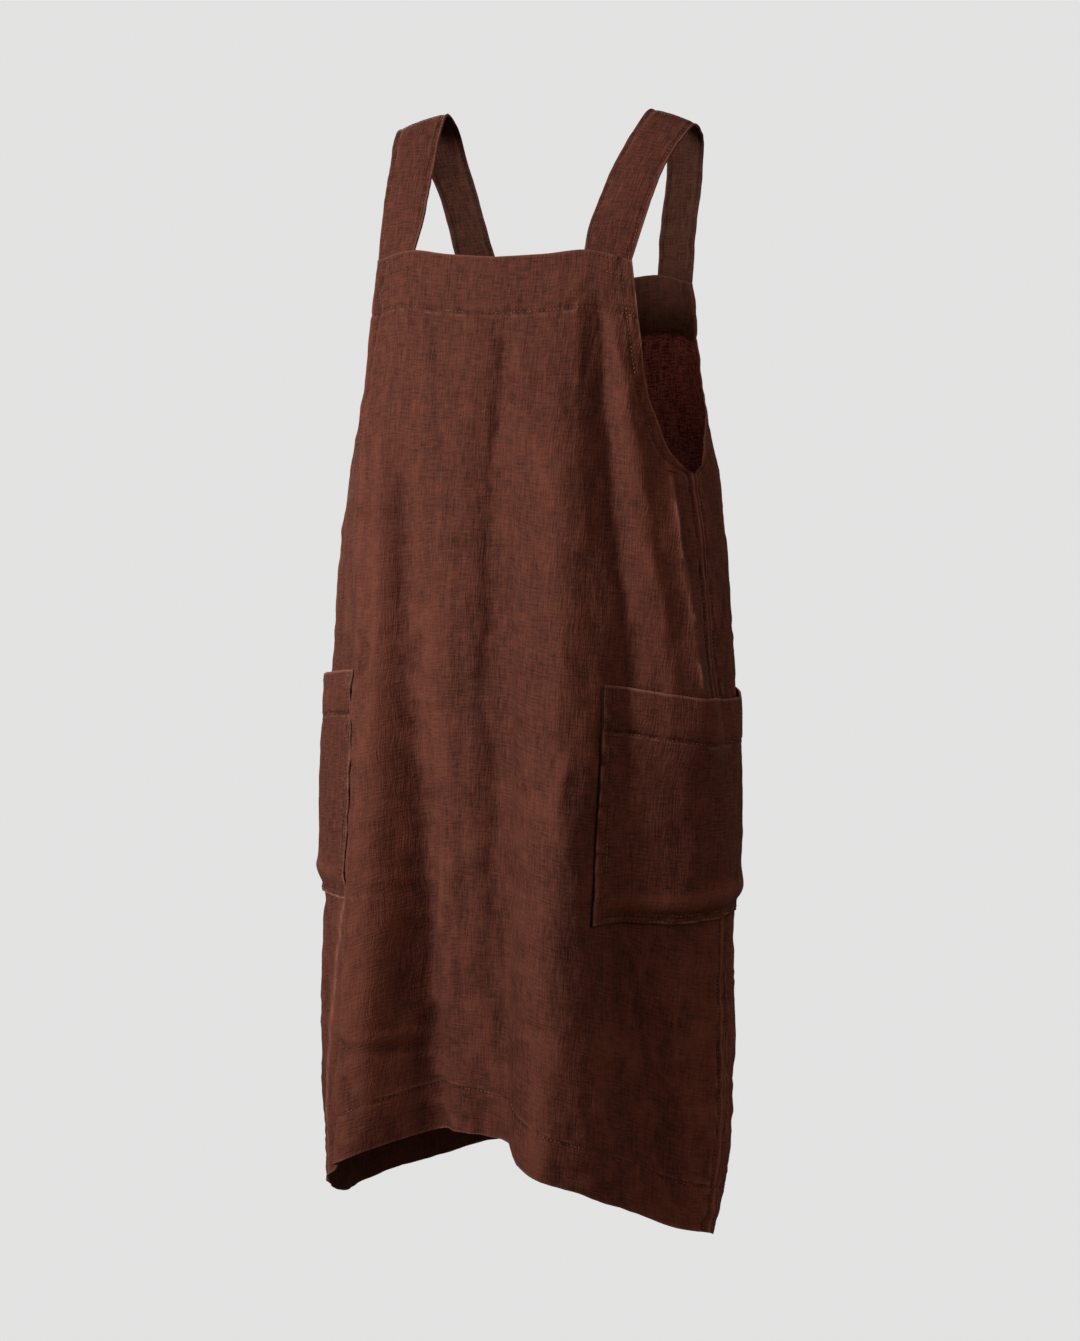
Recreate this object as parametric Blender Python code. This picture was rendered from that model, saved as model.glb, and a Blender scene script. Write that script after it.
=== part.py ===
"""A linen pinafore dress, hanging open and hollow from its two shoulder straps.

The frame is metres with +Z up. The origin lies where the wearer's shoulders carry the dress,
midway between the two straps. The front of the dress faces -Y and the wearer's left is +X.
Sizes below are in millimetres. "Drop" is the distance below the origin. An "angle" runs round
the body in degrees: 0 is centre front, 90 the wearer's left side, 180 centre back, -90 the right.
"""
import bpy
import numpy as np

MM = 0.001

# ---- Cloth ----
CLOTH = 1.2            # thickness of the linen
STRAP_CLOTH = 2.0      # a strap is the same linen, double
FACING_CLOTH = 1.0     # the turned-down band inside the top edges
SEAM_GAP = 0.3         # clearance kept between two pieces that are sewn together
LINEN_RED_BROWN = (0.105, 0.038, 0.026, 1.0)
LINEN_SHADE = (0.085, 0.030, 0.020, 1.0)

# ---- The body tube, below the armholes ----
ARMHOLE_DROP = 303.0   # where front and back meet, at the foot of each armhole
FRONT_HALF_ARC = 215.0   # round the body from centre front to a side seam, at the hips
BACK_HALF_ARC = 260.0
# drop, half width, front depth, back depth, centre in Y, angle of the side seam
BODY_RINGS = (
    (303, 170, 120, 118, -27, 73.5),
    (350, 176, 124.5, 121.3, -27.8, 73.8),
    (421, 183, 130, 126, -29, 75.0),
    (511, 188, 136, 131, -32, 82.0),
    (591, 190, 138, 131, -34, 85.5),
    (696, 190, 139, 130, -37, 86.0),
    (841, 192, 140, 129, -41, 86.0),
    (931, 193, 140, 128, -43, 82.0),
    (991, 190, 138, 126, -43, 78.0),
)

# ---- The bib and the back above the armholes' feet ----
# drop, half width and depth of the level section's oval, Y of the centre line, angle at the armhole's edge
FRONT_RISE = (
    (100, 172, 48, -103.5, 43.5),
    (116, 168, 55, -107.0, 45.6),
    (186, 163, 82.5, -123.0, 52.3),
    (231, 163, 102, -134.0, 55.3),
    (257, 165, 111, -140.0, 58.7),
    (281, 167.6, 117.5, -144.3, 62.0),
    (291, 168.7, 119.2, -145.7, 65.1),
    (299, 169.6, 119.9, -146.6, 69.2),
)
BACK_RISE = (
    (130, 205, 64, 75, 34),
    (142, 195, 73, 76, 36),
    (171, 162, 86, 80.5, 49.0),
    (200, 153, 97.5, 84, 57.7),
    (231, 154, 110, 86.8, 66.7),
    (257, 158, 114.5, 88.7, 80.7),
    (276, 162.5, 116.5, 89.8, 91.0),
    (291, 166.6, 117.7, 90.5, 96.2),
    (299, 169.0, 118.2, 90.85, 99.6),
)

# ---- Edges: share of the half width (0 centre, 1 or -1 side), drop. The two sides of a hem differ ----
FRONT_TOP = ((0.0, 119.0), (0.35, 116.5), (0.63, 113.0), (1.0, 122.0))
BACK_TOP = ((0.0, 139.0), (0.35, 138.0), (0.65, 134.5), (1.0, 142.0))
FRONT_HEM = (
    (-1.0, 968), (-0.82, 955), (-0.65, 939), (-0.5, 923), (-0.35, 905.5), (-0.2, 884), (-0.1, 876),
    (0.0, 872), (0.1, 874), (0.165, 877), (0.2, 887), (0.3, 904), (0.4, 915), (0.5, 928.5), (0.65, 945),
    (0.82, 959.5), (1.0, 968),
)
BACK_HEM = (
    (-1.0, 968), (-0.9, 982), (-0.8, 987), (-0.7, 983.5), (-0.6, 974.5), (-0.5, 967), (-0.4, 962.5),
    (-0.3, 953), (-0.15, 943), (0.0, 941), (0.3, 954), (0.5, 968), (0.65, 976), (0.8, 980), (0.9, 976),
    (1.0, 968),
)
BAND_DEPTH = 51.0      # the stitched band along both top edges

# ---- Folds: drop, angle, height (out is positive), width before and after the crest in degrees ----
FOLDS = (
    # the front's turned edge on the wearer's right, from the armhole to the hem
    ((190, -44, 0, 7, 7), (300, -47.5, 3.5, 7, 7.5), (384, -41, 6, 6.5, 7.5), (470, -36, 9, 6.5, 8),
     (594, -31, 15.5, 7, 9), (740, -30, 23, 8, 10.5), (876, -29.5, 25, 8, 11.5), (990, -45, 16, 8, 8)),
    # the narrow crest between the turned edge and the deep trough
    ((200, -37, 0, 5, 5), (300, -35.5, 5.5, 5.5, 5), (380, -32, 5, 6, 5), (460, -28.5, 6, 5.5, 5),
     (540, -25.5, 10.5, 6, 5), (640, -23.5, 13.5, 8, 5), (740, -22.5, 18.5, 9, 5), (860, -22.5, 20, 10, 5),
     (990, -33.5, 5, 6.5, 5)),
    # the deep trough beside it, steep on both sides
    ((262, -27, 0, 5, 5.5), (300, -26.5, -3.5, 5, 5.5), (380, -23, -9.5, 5.5, 6), (466, -19.5, -12, 6, 6),
     (544, -16, -17.5, 7.5, 6.5), (628, -13.5, -22.5, 9.5, 6), (716, -14, -25.5, 9, 5.5),
     (866, -9.5, -26, 7, 5.5), (990, -13, -18, 14.5, 7)),
    # the centre trough, which ends in a steep step at the hem
    ((160, 6, 0, 5, 5), (200, 7, -4.5, 5.5, 5.5), (280, 6.5, -7, 6.5, 7), (440, 7, -7.5, 5, 7.5),
     (500, 7, -6, 5, 7.5), (570, 9.5, -7, 5.5, 6), (710, 12.5, -4.5, 8, 5), (820, 9, -2.5, 10.5, 5.5),
     (930, 10, -22, 11.5, 5)),
    # the broad crest to its left
    ((220, 25.5, 0, 8, 8.5), (330, 27, 10.5, 8.5, 8), (534, 26.5, 16.5, 8, 7.5), (706, 26, 19, 7, 8),
     (850, 25.5, 19, 7.5, 9), (990, 20.5, 8.5, 6, 10.5)),
    # the left shoulder of the broad crest, where the front turns to the side
    ((130, 30, 0, 8, 6), (180, 30.5, 2, 8, 6), (240, 32.5, 2, 8.5, 6), (320, 36.5, 5, 8.5, 6.5),
     (420, 38.5, 7.5, 8, 6), (520, 36, 9.5, 6.5, 5), (620, 30.5, 12, 5, 5), (720, 33.5, 9, 6.5, 6),
     (820, 36, 9.5, 7, 6.5), (900, 35.5, 9, 7, 6), (990, 36.5, 2, 7, 6)),
    # the trough that runs from the band to the corner of the left pocket, steep on its outer side
    ((150, 35.5, 0, 6, 4), (172, 36.5, -5.5, 6.5, 4), (240, 40, -8, 7.5, 4), (324, 42.5, -4, 8.5, 4),
     (408, 43.5, -2.5, 8.5, 4), (476, 44.5, -3.5, 9.5, 4), (540, 46, -5.5, 8.5, 5.5), (620, 50, -11.5, 7.5, 8.5)),
    # the crest outside that trough
    ((172, 41.5, 0, 5, 6), (240, 48, 6.5, 5.5, 7), (300, 49.5, 11, 7, 8), (366, 51.5, 12.5, 7, 8.5),
     (426, 54, 9.5, 6.5, 8), (476, 56.5, 2.5, 7, 8), (570, 61, -9.5, 9, 9)),
    # the sharp crease below the left armhole and the hollow behind it, as far as the side seam
    ((290, 61, 0, 4.5, 3), (342, 62, 5, 5.5, 3), (418, 65, 7, 4.5, 3), (505, 69.5, 5.5, 5, 3.5),
     (580, 73.5, -4.5, 6.5, 4)),
    ((412, 73, 0, 3, 3.5), (488, 78.5, -3.5, 4, 4), (580, 82.5, 0.5, 4, 4)),
    # the swell of the left side, from the armhole to below the pocket
    ((215, 62, 0, 8, 9), (300, 63.5, 7, 9.5, 10.5), (380, 65, 11.5, 10.5, 11.5), (500, 64.5, 12, 10.5, 12),
     (640, 64, 11, 10.5, 12), (740, 64, 3, 9.5, 10), (840, 63, -1.5, 9, 9.5), (920, 62.5, -3.5, 9, 9),
     (990, 62, -1.5, 9, 9)),
    # the trough below the left pocket
    ((596, 41, 0, 6, 5), (640, 41.5, 1.5, 6, 5), (700, 46, -8, 6, 6), (770, 50.5, -12.5, 7, 7.5),
     (828, 56, -12, 8, 7.5), (905, 58.5, -12.5, 8, 8), (990, 61, -11, 9, 9)),
    # the swell behind the turned edge, drawn in at the hem
    ((650, -66, 0, 11, 13), (745, -66, 4.5, 11, 13), (860, -66, 3.5, 11, 13), (925, -66, -3, 11, 13),
     (985, -66, -3, 11, 13)),
    # the tuck at the foot of the left side seam
    ((870, 100, 0, 13, 15), (935, 99, -6, 13, 15), (985, 98, -18, 14, 16)),
    # the back: two troughs and a crest on each side of the centre
    ((240, 158, 0, 8, 8), (420, 156, -5, 9, 9), (700, 154, -9, 10, 10), (990, 152, -13, 10, 10)),
    ((300, -168, 0, 8, 8), (520, -166, -4, 9, 9), (800, -163, -8, 9, 9), (990, -160, -12, 9, 9)),
    ((250, 118, 0, 7, 7), (310, 116, -3.5, 8, 8), (400, 118, -3, 8, 8), (480, 123, -5, 8, 8),
     (600, 126, -3, 8, 8), (760, 122, -7, 9, 9), (990, 118, -9, 9, 9)),
    ((300, -138, 0, 8, 8), (470, -136, -5, 8, 8), (720, -134, -6, 9, 9), (990, -128, -11, 10, 10)),
    ((380, 172, 0, 9, 9), (620, 173, 4, 10, 10), (990, 174, 8, 10, 10)),
    ((360, -112, 0, 7, 7), (520, -110, 3, 8, 8), (780, -110, 5, 9, 9), (990, -108, 7, 9, 9)),
)
FOLD_WIDTH_TO_DEPTH = 1.37   # width of the body over its depth, which sets the way a fold stands out

# ---- Straps: inner edge X, Y, Z and outer edge X, Y, Z, from the bib over the shoulder ----
STRAP_LINES = (
    (80.0, -88, -93, 124.4, -77, -94),
    (82.7, -71, -68, 127.9, -65, -69),
    (88.2, -46, -34, 132.9, -43, -37),
    (94.2, -21, -8, 139.4, -24, -17),
    (98.7, 3, 9, 143.4, -4, -5),
    (100.7, 27, -2, 142.4, 15, -13),
    (99.0, 43, -31, 135.9, 33, -36),
    (93.2, 52, -61, 128.4, 46, -63),
    (86.2, 58, -94, 121.9, 53, -95),
)
STRAP_AT_BIB = (0.635, 1.0)    # where a strap is sewn to the front's top edge, as shares of the half width
STRAP_AT_BACK = (0.665, 1.0)
STRAP_CROWN = 1.2              # how far the middle of a strap stands above its edges

# ---- Patch pockets: front edge angle at mouth and foot, back edge angle ----
POCKET_LEFT = (37.5, 35.0, 121.0)
POCKET_RIGHT = (-38.5, -43.0, -122.0)
POCKET_MOUTH = ((0.0, 478), (0.25, 487), (0.5, 497), (0.75, 500), (1.0, 494))   # share of the width, drop
POCKET_FOOT = ((0.0, 684), (0.5, 690), (1.0, 688))
POCKET_LIFT = 0.9              # clearance of the sewn edges from the body, clear of its facets
POCKET_BAG = 8.6               # how far the loose middle stands away, low down
POCKET_MOUTH_BAG = 0.6         # share of that at the mouth
POCKET_SAG = 9                 # the higher, the lower the loose cloth hangs before it turns in to the foot
POCKET_EVENS = 0.85            # share of the body's troughs that the loose middle hangs clear of

# ---- Mesh rows and columns ----
FRONT_COLUMNS = 48
BACK_COLUMNS = 34
BAND_ROWS = 2
RISE_ROWS = 9
TUBE_ROWS = 21
STRAP_COLUMNS = 4
STRAP_ROWS = 30
POCKET_COLUMNS = 20
POCKET_ROWS = 12


def smooth(table, column, at):
    """A column of a table between its rows: cubic, level where the column turns, held past the ends."""
    rows = np.array(table, float)
    x, y = rows[:, 0], rows[:, column]
    slope = np.diff(y) / np.diff(x)
    before, after = slope[:-1], slope[1:]
    same_way = before * after > 0
    inner = np.where(same_way, 2 * before * after / np.where(same_way, before + after, 1.0), 0.0)
    tangent = np.concatenate([slope[:1], inner, slope[-1:]])
    row = np.clip(np.searchsorted(x, at) - 1, 0, len(x) - 2)
    span = x[row + 1] - x[row]
    t = np.clip((at - x[row]) / span, 0, 1)
    return ((1 + 2 * t) * (1 - t) ** 2 * y[row] + t * (1 - t) ** 2 * span * tangent[row]
            + t * t * (3 - 2 * t) * y[row + 1] + t * t * (t - 1) * span * tangent[row + 1])


def ring_section(back, drop):
    """Below the armholes: a panel's half width, depth, centre line Y and edge angle, shared at the seam."""
    half_width, front_depth, back_depth, centre, seam = (
        smooth(BODY_RINGS, column, drop) for column in (1, 2, 3, 4, 5)
    )
    if not back:
        return half_width, front_depth, centre - front_depth, seam
    reach = 180 - seam
    middle = centre + back_depth
    seam_y = centre - front_depth * np.cos(np.radians(seam))
    return half_width, (middle - seam_y) / (1 - np.cos(np.radians(reach))), middle, reach


def section(rise, back, drop):
    """The same four columns at every drop: from the panel's rise above the armholes' feet, then the rings."""
    rings = tuple((ring[0], *ring_section(back, float(ring[0]))) for ring in BODY_RINGS[:2])
    below = ring_section(back, np.maximum(drop, ARMHOLE_DROP))
    above = (smooth(rise + rings, column, np.minimum(drop, ARMHOLE_DROP)) for column in (1, 2, 3, 4))
    return (np.where(drop < ARMHOLE_DROP, over, under) for over, under in zip(above, below))


def fold_height(angle, drop):
    """Sum of the folds: each is a bell across its own path, with its own width on each side."""
    height = np.zeros(np.broadcast(angle, drop).shape)
    for path in FOLDS:
        across = (angle - smooth(path, 1, drop) + 180) % 360 - 180
        width = np.where(across < 0, smooth(path, 3, drop), smooth(path, 4, drop))
        height = height + smooth(path, 2, drop) * np.exp(-(across / width) ** 2)
    return height


def panel_point(rise, back, share, drop, folded=1.0):
    """A point of the cloth's outer face. share is 0 on the centre line and -1 or 1 on the side edges."""
    half_width, depth, middle, edge_angle = section(rise, back, drop)
    turn = np.radians(edge_angle) * share
    inward = -1 if back else 1
    x = half_width * np.sin(turn)
    y = middle + inward * depth * (1 - np.cos(turn))
    angle = np.degrees(turn)
    if back:
        angle = np.where(share < 0, -180 - angle, 180 - angle)
    height = folded * fold_height(angle, drop)
    out_x = np.sin(np.radians(angle))
    out_y = -np.cos(np.radians(angle)) * FOLD_WIDTH_TO_DEPTH
    length = np.hypot(out_x, out_y)
    return np.stack([x + height * out_x / length, y + height * out_y / length, -drop + 0 * x], -1)


def front_point(share, drop):
    return panel_point(FRONT_RISE, False, share, drop)


def back_point(share, drop):
    return panel_point(BACK_RISE, True, share, drop)


def body_point(angle, drop, folded):
    """A point of the body tube by its angle round the body, with the given share of the folds' height."""
    seam = smooth(BODY_RINGS, 5, drop)
    in_front = np.abs(angle) <= seam
    side = np.sign(angle)
    front = panel_point(FRONT_RISE, False, angle / seam, drop, folded)
    back = panel_point(BACK_RISE, True, side * (180 - np.abs(angle)) / (180 - seam), drop, folded)
    return np.where(in_front[..., None], front, back)


def normals(grid):
    """Unit normals of a grid of points, out of the face whose rows run down and columns run to +X."""
    along = np.gradient(grid, axis=1)
    down = np.gradient(grid, axis=0)
    normal = np.cross(down, along)
    return normal / np.linalg.norm(normal, axis=-1, keepdims=True)


def linen(name, colour):
    """Plain-woven linen: matt, with a soft sheen at grazing angles."""
    material = bpy.data.materials.new(name)
    material.use_nodes = True
    shader = material.node_tree.nodes["Principled BSDF"]
    shader.inputs["Base Color"].default_value = colour
    shader.inputs["Roughness"].default_value = 0.92
    shader.inputs["Metallic"].default_value = 0.0
    shader.inputs["Sheen Weight"].default_value = 0.25
    return material


def cloth_solid(name, outer, inner, material):
    """A closed wall of cloth between two grids of points, with a rim round all four edges."""
    rows, columns = outer.shape[:2]
    index = np.arange(rows * columns).reshape(rows, columns)
    under = index + rows * columns
    quads = np.stack([index[:-1, :-1], index[1:, :-1], index[1:, 1:], index[:-1, 1:]], -1).reshape(-1, 4)
    turned = quads[:, (0, 3, 2, 1)] + rows * columns    # the same diagonals as the outer face
    faces = [quads, turned]
    for edge, edge_under in (
        (index[0], under[0]),
        (index[:, -1], under[:, -1]),
        (index[-1, ::-1], under[-1, ::-1]),
        (index[::-1, 0], under[::-1, 0]),
    ):
        faces.append(np.stack([edge[:-1], edge[1:], edge_under[1:], edge_under[:-1]], -1))
    points = np.concatenate([outer.reshape(-1, 3), inner.reshape(-1, 3)]) * MM
    mesh = bpy.data.meshes.new(name)
    mesh.from_pydata(points.tolist(), [], np.concatenate(faces).tolist())
    mesh.validate()
    mesh.shade_smooth()
    mesh.set_sharp_from_angle(angle=np.radians(50))
    mesh.materials.append(material)
    solid = bpy.data.objects.new(name, mesh)
    bpy.context.collection.objects.link(solid)
    return solid


def shares(columns, half_arc):
    """Even columns from edge to edge, drawn in by half the seam gap on a panel of this half arc."""
    reach = 1 - SEAM_GAP / 2 / half_arc
    return np.linspace(-reach, reach, columns + 1)


def panel_drops(top, hem, share):
    """Rows of drops: the band, on to the armhole's foot, closer near the foot, then to the hem."""
    edge_hem = smooth(hem, 1, share)
    band = smooth(top, 1, np.abs(share)) + np.linspace(0, BAND_DEPTH, BAND_ROWS + 1)[:, None]
    rise = 1 - (1 - np.linspace(0, 1, RISE_ROWS + 1)[1:, None]) ** 1.7
    tube = np.linspace(0, 1, TUBE_ROWS + 1)[1:, None]
    upper = band[-1] + (ARMHOLE_DROP - band[-1]) * rise
    lower = ARMHOLE_DROP + (edge_hem - ARMHOLE_DROP) * tube
    return np.vstack([band, upper, lower])


def panel_face(point, top, hem, columns, half_arc, outward):
    """A panel's outer points, with their normals, from edge to edge and from the top to the hem."""
    share = shares(columns, half_arc)
    drops = panel_drops(top, hem, share)
    face = point(np.broadcast_to(share, drops.shape), drops)
    return face, outward * normals(face)


def share_seam_normals(front_out, back_out):
    """Below the armholes, gives both panels one normal along each side seam, so their walls meet square."""
    foot = BAND_ROWS + RISE_ROWS
    for edge in (0, -1):
        both = front_out[foot:, edge] + back_out[foot:, edge]
        both /= np.linalg.norm(both, axis=-1, keepdims=True)
        front_out[foot:, edge] = back_out[foot:, edge] = both


def make_layer(name, face, out, depth, thickness, material):
    """A wall of cloth that follows a face, with its outer side the given depth inside it."""
    outer = face - depth * out
    inner = outer - thickness * out
    if out[0, 0, 1] > 0:
        outer, inner = outer[:, ::-1], inner[:, ::-1]
    return cloth_solid(name, outer, inner, material)


def make_panel(name, face, out, material):
    """Front or back: one cloth thick, its outer side on the body's form."""
    return make_layer(name, face, out, 0.0, CLOTH, material)


def make_band(name, face, out, material):
    """The band turned down inside a top edge, made from the panel's own points moved in."""
    rows = slice(0, BAND_ROWS + 1)
    return make_layer(name, face[rows], out[rows], CLOTH + SEAM_GAP, FACING_CLOTH, material)


def strap_ends(side):
    """The two rows of points where a strap meets the bib and the back, just above their top edges."""
    across = np.linspace(0, 1, STRAP_COLUMNS + 1)
    ends = []
    for point, top, (near, far) in (
        (front_point, FRONT_TOP, STRAP_AT_BIB),
        (back_point, BACK_TOP, STRAP_AT_BACK),
    ):
        share = side * (near + (far - near) * across)
        row = point(share, smooth(top, 1, np.abs(share)))
        row[:, 2] += SEAM_GAP
        ends.append(row)
    return ends


def make_strap(name, side, material):
    """One strap: straight lines between its two edges, crowned, smooth from the bib over to the back."""
    across = np.linspace(0, 1, STRAP_COLUMNS + 1)
    lines = np.array(STRAP_LINES, float)
    lines[:, (0, 3)] *= side
    middle = lines[:, None, :3] * (1 - across[:, None]) + lines[:, None, 3:] * across[:, None]
    front_end, back_end = strap_ends(side)
    stations = np.concatenate([front_end[None], middle, back_end[None]])
    step = np.linalg.norm(np.diff(stations.mean(axis=1), axis=0), axis=1)
    length = np.concatenate([[0], np.cumsum(step)])
    at = np.linspace(0, length[-1], STRAP_ROWS + 1)
    flat = stations.reshape(len(stations), -1)
    grid = np.stack([curve(length, flat[:, column], at) for column in range(flat.shape[1])], -1)
    grid = grid.reshape(len(at), -1, 3)
    if side > 0:
        grid = grid[:, ::-1]
    out = normals(grid[::-1])[::-1]
    ease = np.sin(np.pi * np.clip(at / length[-1], 0, 1))[:, None] ** 0.5
    crown = STRAP_CROWN * ease * (4 * across * (1 - across))
    outer = grid + crown[..., None] * out
    inner = outer - STRAP_CLOTH * out
    return cloth_solid(name, outer[::-1], inner[::-1], material)


def curve(x, y, at):
    """A smooth curve through points: cubic, with each tangent taken from the points on both sides."""
    tangent = np.gradient(y, x)
    row = np.clip(np.searchsorted(x, at) - 1, 0, len(x) - 2)
    span = x[row + 1] - x[row]
    t = (at - x[row]) / span
    return ((1 + 2 * t) * (1 - t) ** 2 * y[row] + t * (1 - t) ** 2 * span * tangent[row]
            + t * t * (3 - 2 * t) * y[row + 1] + t * t * (t - 1) * span * tangent[row + 1])


def make_pocket(name, edges, material):
    """A patch pocket round the side seam: the body's points moved out, loose between its sewn edges."""
    at_mouth, at_foot, at_back = edges
    across = np.linspace(0, 1, POCKET_COLUMNS + 1)[None, :]
    down = np.linspace(0, 1, POCKET_ROWS + 1)[:, None]
    mouth, foot = smooth(POCKET_MOUTH, 1, across), smooth(POCKET_FOOT, 1, across)
    drops = mouth + (foot - mouth) * down
    front_edge = at_mouth + (at_foot - at_mouth) * down
    angle = front_edge + (at_back - front_edge) * across
    bag = POCKET_MOUTH_BAG + (1 - POCKET_MOUTH_BAG) * down
    loose = np.sin(np.pi * across ** 0.85) * (1 - down ** POCKET_SAG) * bag
    hung = np.where(fold_height(angle, drops) > 0, 1, 1 - POCKET_EVENS * loose)
    body = body_point(angle, drops, hung)
    side = np.sign(at_mouth)
    out = side * normals(body)
    inner = body + (POCKET_LIFT + POCKET_BAG * loose)[..., None] * out
    outer = inner + CLOTH * side * normals(inner)
    if side < 0:
        outer, inner = outer[:, ::-1], inner[:, ::-1]
    return cloth_solid(name, outer, inner, material)


def main():
    for thing in list(bpy.data.objects):
        bpy.data.objects.remove(thing, do_unlink=True)
    lit, shaded = linen("red-brown linen", LINEN_RED_BROWN), linen("linen, inner side", LINEN_SHADE)
    front = panel_face(front_point, FRONT_TOP, FRONT_HEM, FRONT_COLUMNS, FRONT_HALF_ARC, 1)
    back = panel_face(back_point, BACK_TOP, BACK_HEM, BACK_COLUMNS, BACK_HALF_ARC, -1)
    share_seam_normals(front[1], back[1])
    make_panel("front", *front, lit)
    make_panel("back", *back, lit)
    make_band("front_band", *front, shaded)
    make_band("back_band", *back, shaded)
    make_strap("strap_left", 1, lit)
    make_strap("strap_right", -1, lit)
    make_pocket("pocket_left", POCKET_LEFT, lit)
    make_pocket("pocket_right", POCKET_RIGHT, lit)


main()
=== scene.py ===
"""A linen pinafore dress: washed red-brown linen, hanging open and hollow from its two shoulder straps.

The frame is metres with +Z up; the origin lies midway between the straps, where shoulders carry them.
The front faces -Y and the wearer's left is +X. Sizes below are in millimetres. "Drop" is the distance
below the origin, "share" runs over a panel from -1 to 1 between its side edges, and "angle" runs round
the body in degrees: 0 is centre front, 90 the wearer's left side, 180 centre back, -90 the right.
"""

import bpy
import numpy as np
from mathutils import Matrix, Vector


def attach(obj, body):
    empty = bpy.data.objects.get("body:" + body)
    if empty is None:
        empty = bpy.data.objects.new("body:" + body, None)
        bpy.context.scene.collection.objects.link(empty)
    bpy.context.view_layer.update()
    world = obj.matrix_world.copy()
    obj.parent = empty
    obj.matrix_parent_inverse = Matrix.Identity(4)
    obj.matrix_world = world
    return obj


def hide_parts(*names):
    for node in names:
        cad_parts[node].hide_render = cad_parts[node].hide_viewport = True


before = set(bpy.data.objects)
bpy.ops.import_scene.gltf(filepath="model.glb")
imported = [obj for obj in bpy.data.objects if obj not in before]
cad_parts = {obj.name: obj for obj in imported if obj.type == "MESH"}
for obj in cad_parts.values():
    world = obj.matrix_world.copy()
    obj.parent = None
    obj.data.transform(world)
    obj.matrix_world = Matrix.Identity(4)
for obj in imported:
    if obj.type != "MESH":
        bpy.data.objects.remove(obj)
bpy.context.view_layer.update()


# ======== Front ========
# One panel of washed linen from the bib to the hem, narrow over the chest and half the body round below.
# It hangs from the straps, so it falls in long soft folds, with a finer crumple left by washing and wear.
MM = 0.001
CLOTH = 1.2
SEAM_GAP = 0.3
# drop, half width, front depth, back depth, centre in Y, angle of the side seam
BODY_RINGS = (
    (303, 170, 120, 118, -27, 73.5),
    (350, 176, 124.5, 121.3, -27.8, 73.8),
    (421, 183, 130, 126, -29, 75.0),
    (511, 188, 136, 131, -32, 82.0),
    (591, 190, 138, 131, -34, 85.5),
    (696, 190, 139, 130, -37, 86.0),
    (841, 192, 140, 129, -41, 86.0),
    (931, 193, 140, 128, -43, 82.0),
    (991, 190, 138, 126, -43, 78.0),
)
# drop, half width and depth of the level section's oval, Y of the centre line, angle at the armhole's edge
FRONT_RISE = (
    (100, 172, 48, -103.5, 43.5),
    (116, 168, 55, -107.0, 45.6),
    (186, 163, 82.5, -123.0, 52.3),
    (231, 163, 102, -134.0, 55.3),
    (257, 165, 111, -140.0, 58.7),
    (281, 167.6, 117.5, -144.3, 62.0),
    (291, 168.7, 119.2, -145.7, 65.1),
    (299, 169.6, 119.9, -146.6, 69.2),
)
ARMHOLE_DROP = 303.0
# share, drop
FRONT_TOP = ((0.0, 119.0), (0.35, 116.5), (0.63, 113.0), (1.0, 122.0))
FRONT_HEM = (
    (-1.0, 968), (-0.82, 955), (-0.65, 939), (-0.5, 923), (-0.35, 905.5), (-0.2, 884), (-0.1, 876),
    (0.0, 872), (0.1, 874), (0.158, 876.5), (0.184, 893), (0.3, 906), (0.4, 915), (0.5, 928.5), (0.65, 945),
    (0.82, 959.5), (1.0, 968),
)
# half_arc: length round the body from the middle to a side seam, at the hips. step: of the grid
FRONT = dict(rise=FRONT_RISE, back=False, top=FRONT_TOP, hem=FRONT_HEM, half_arc=215.0, step=3.1)
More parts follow.
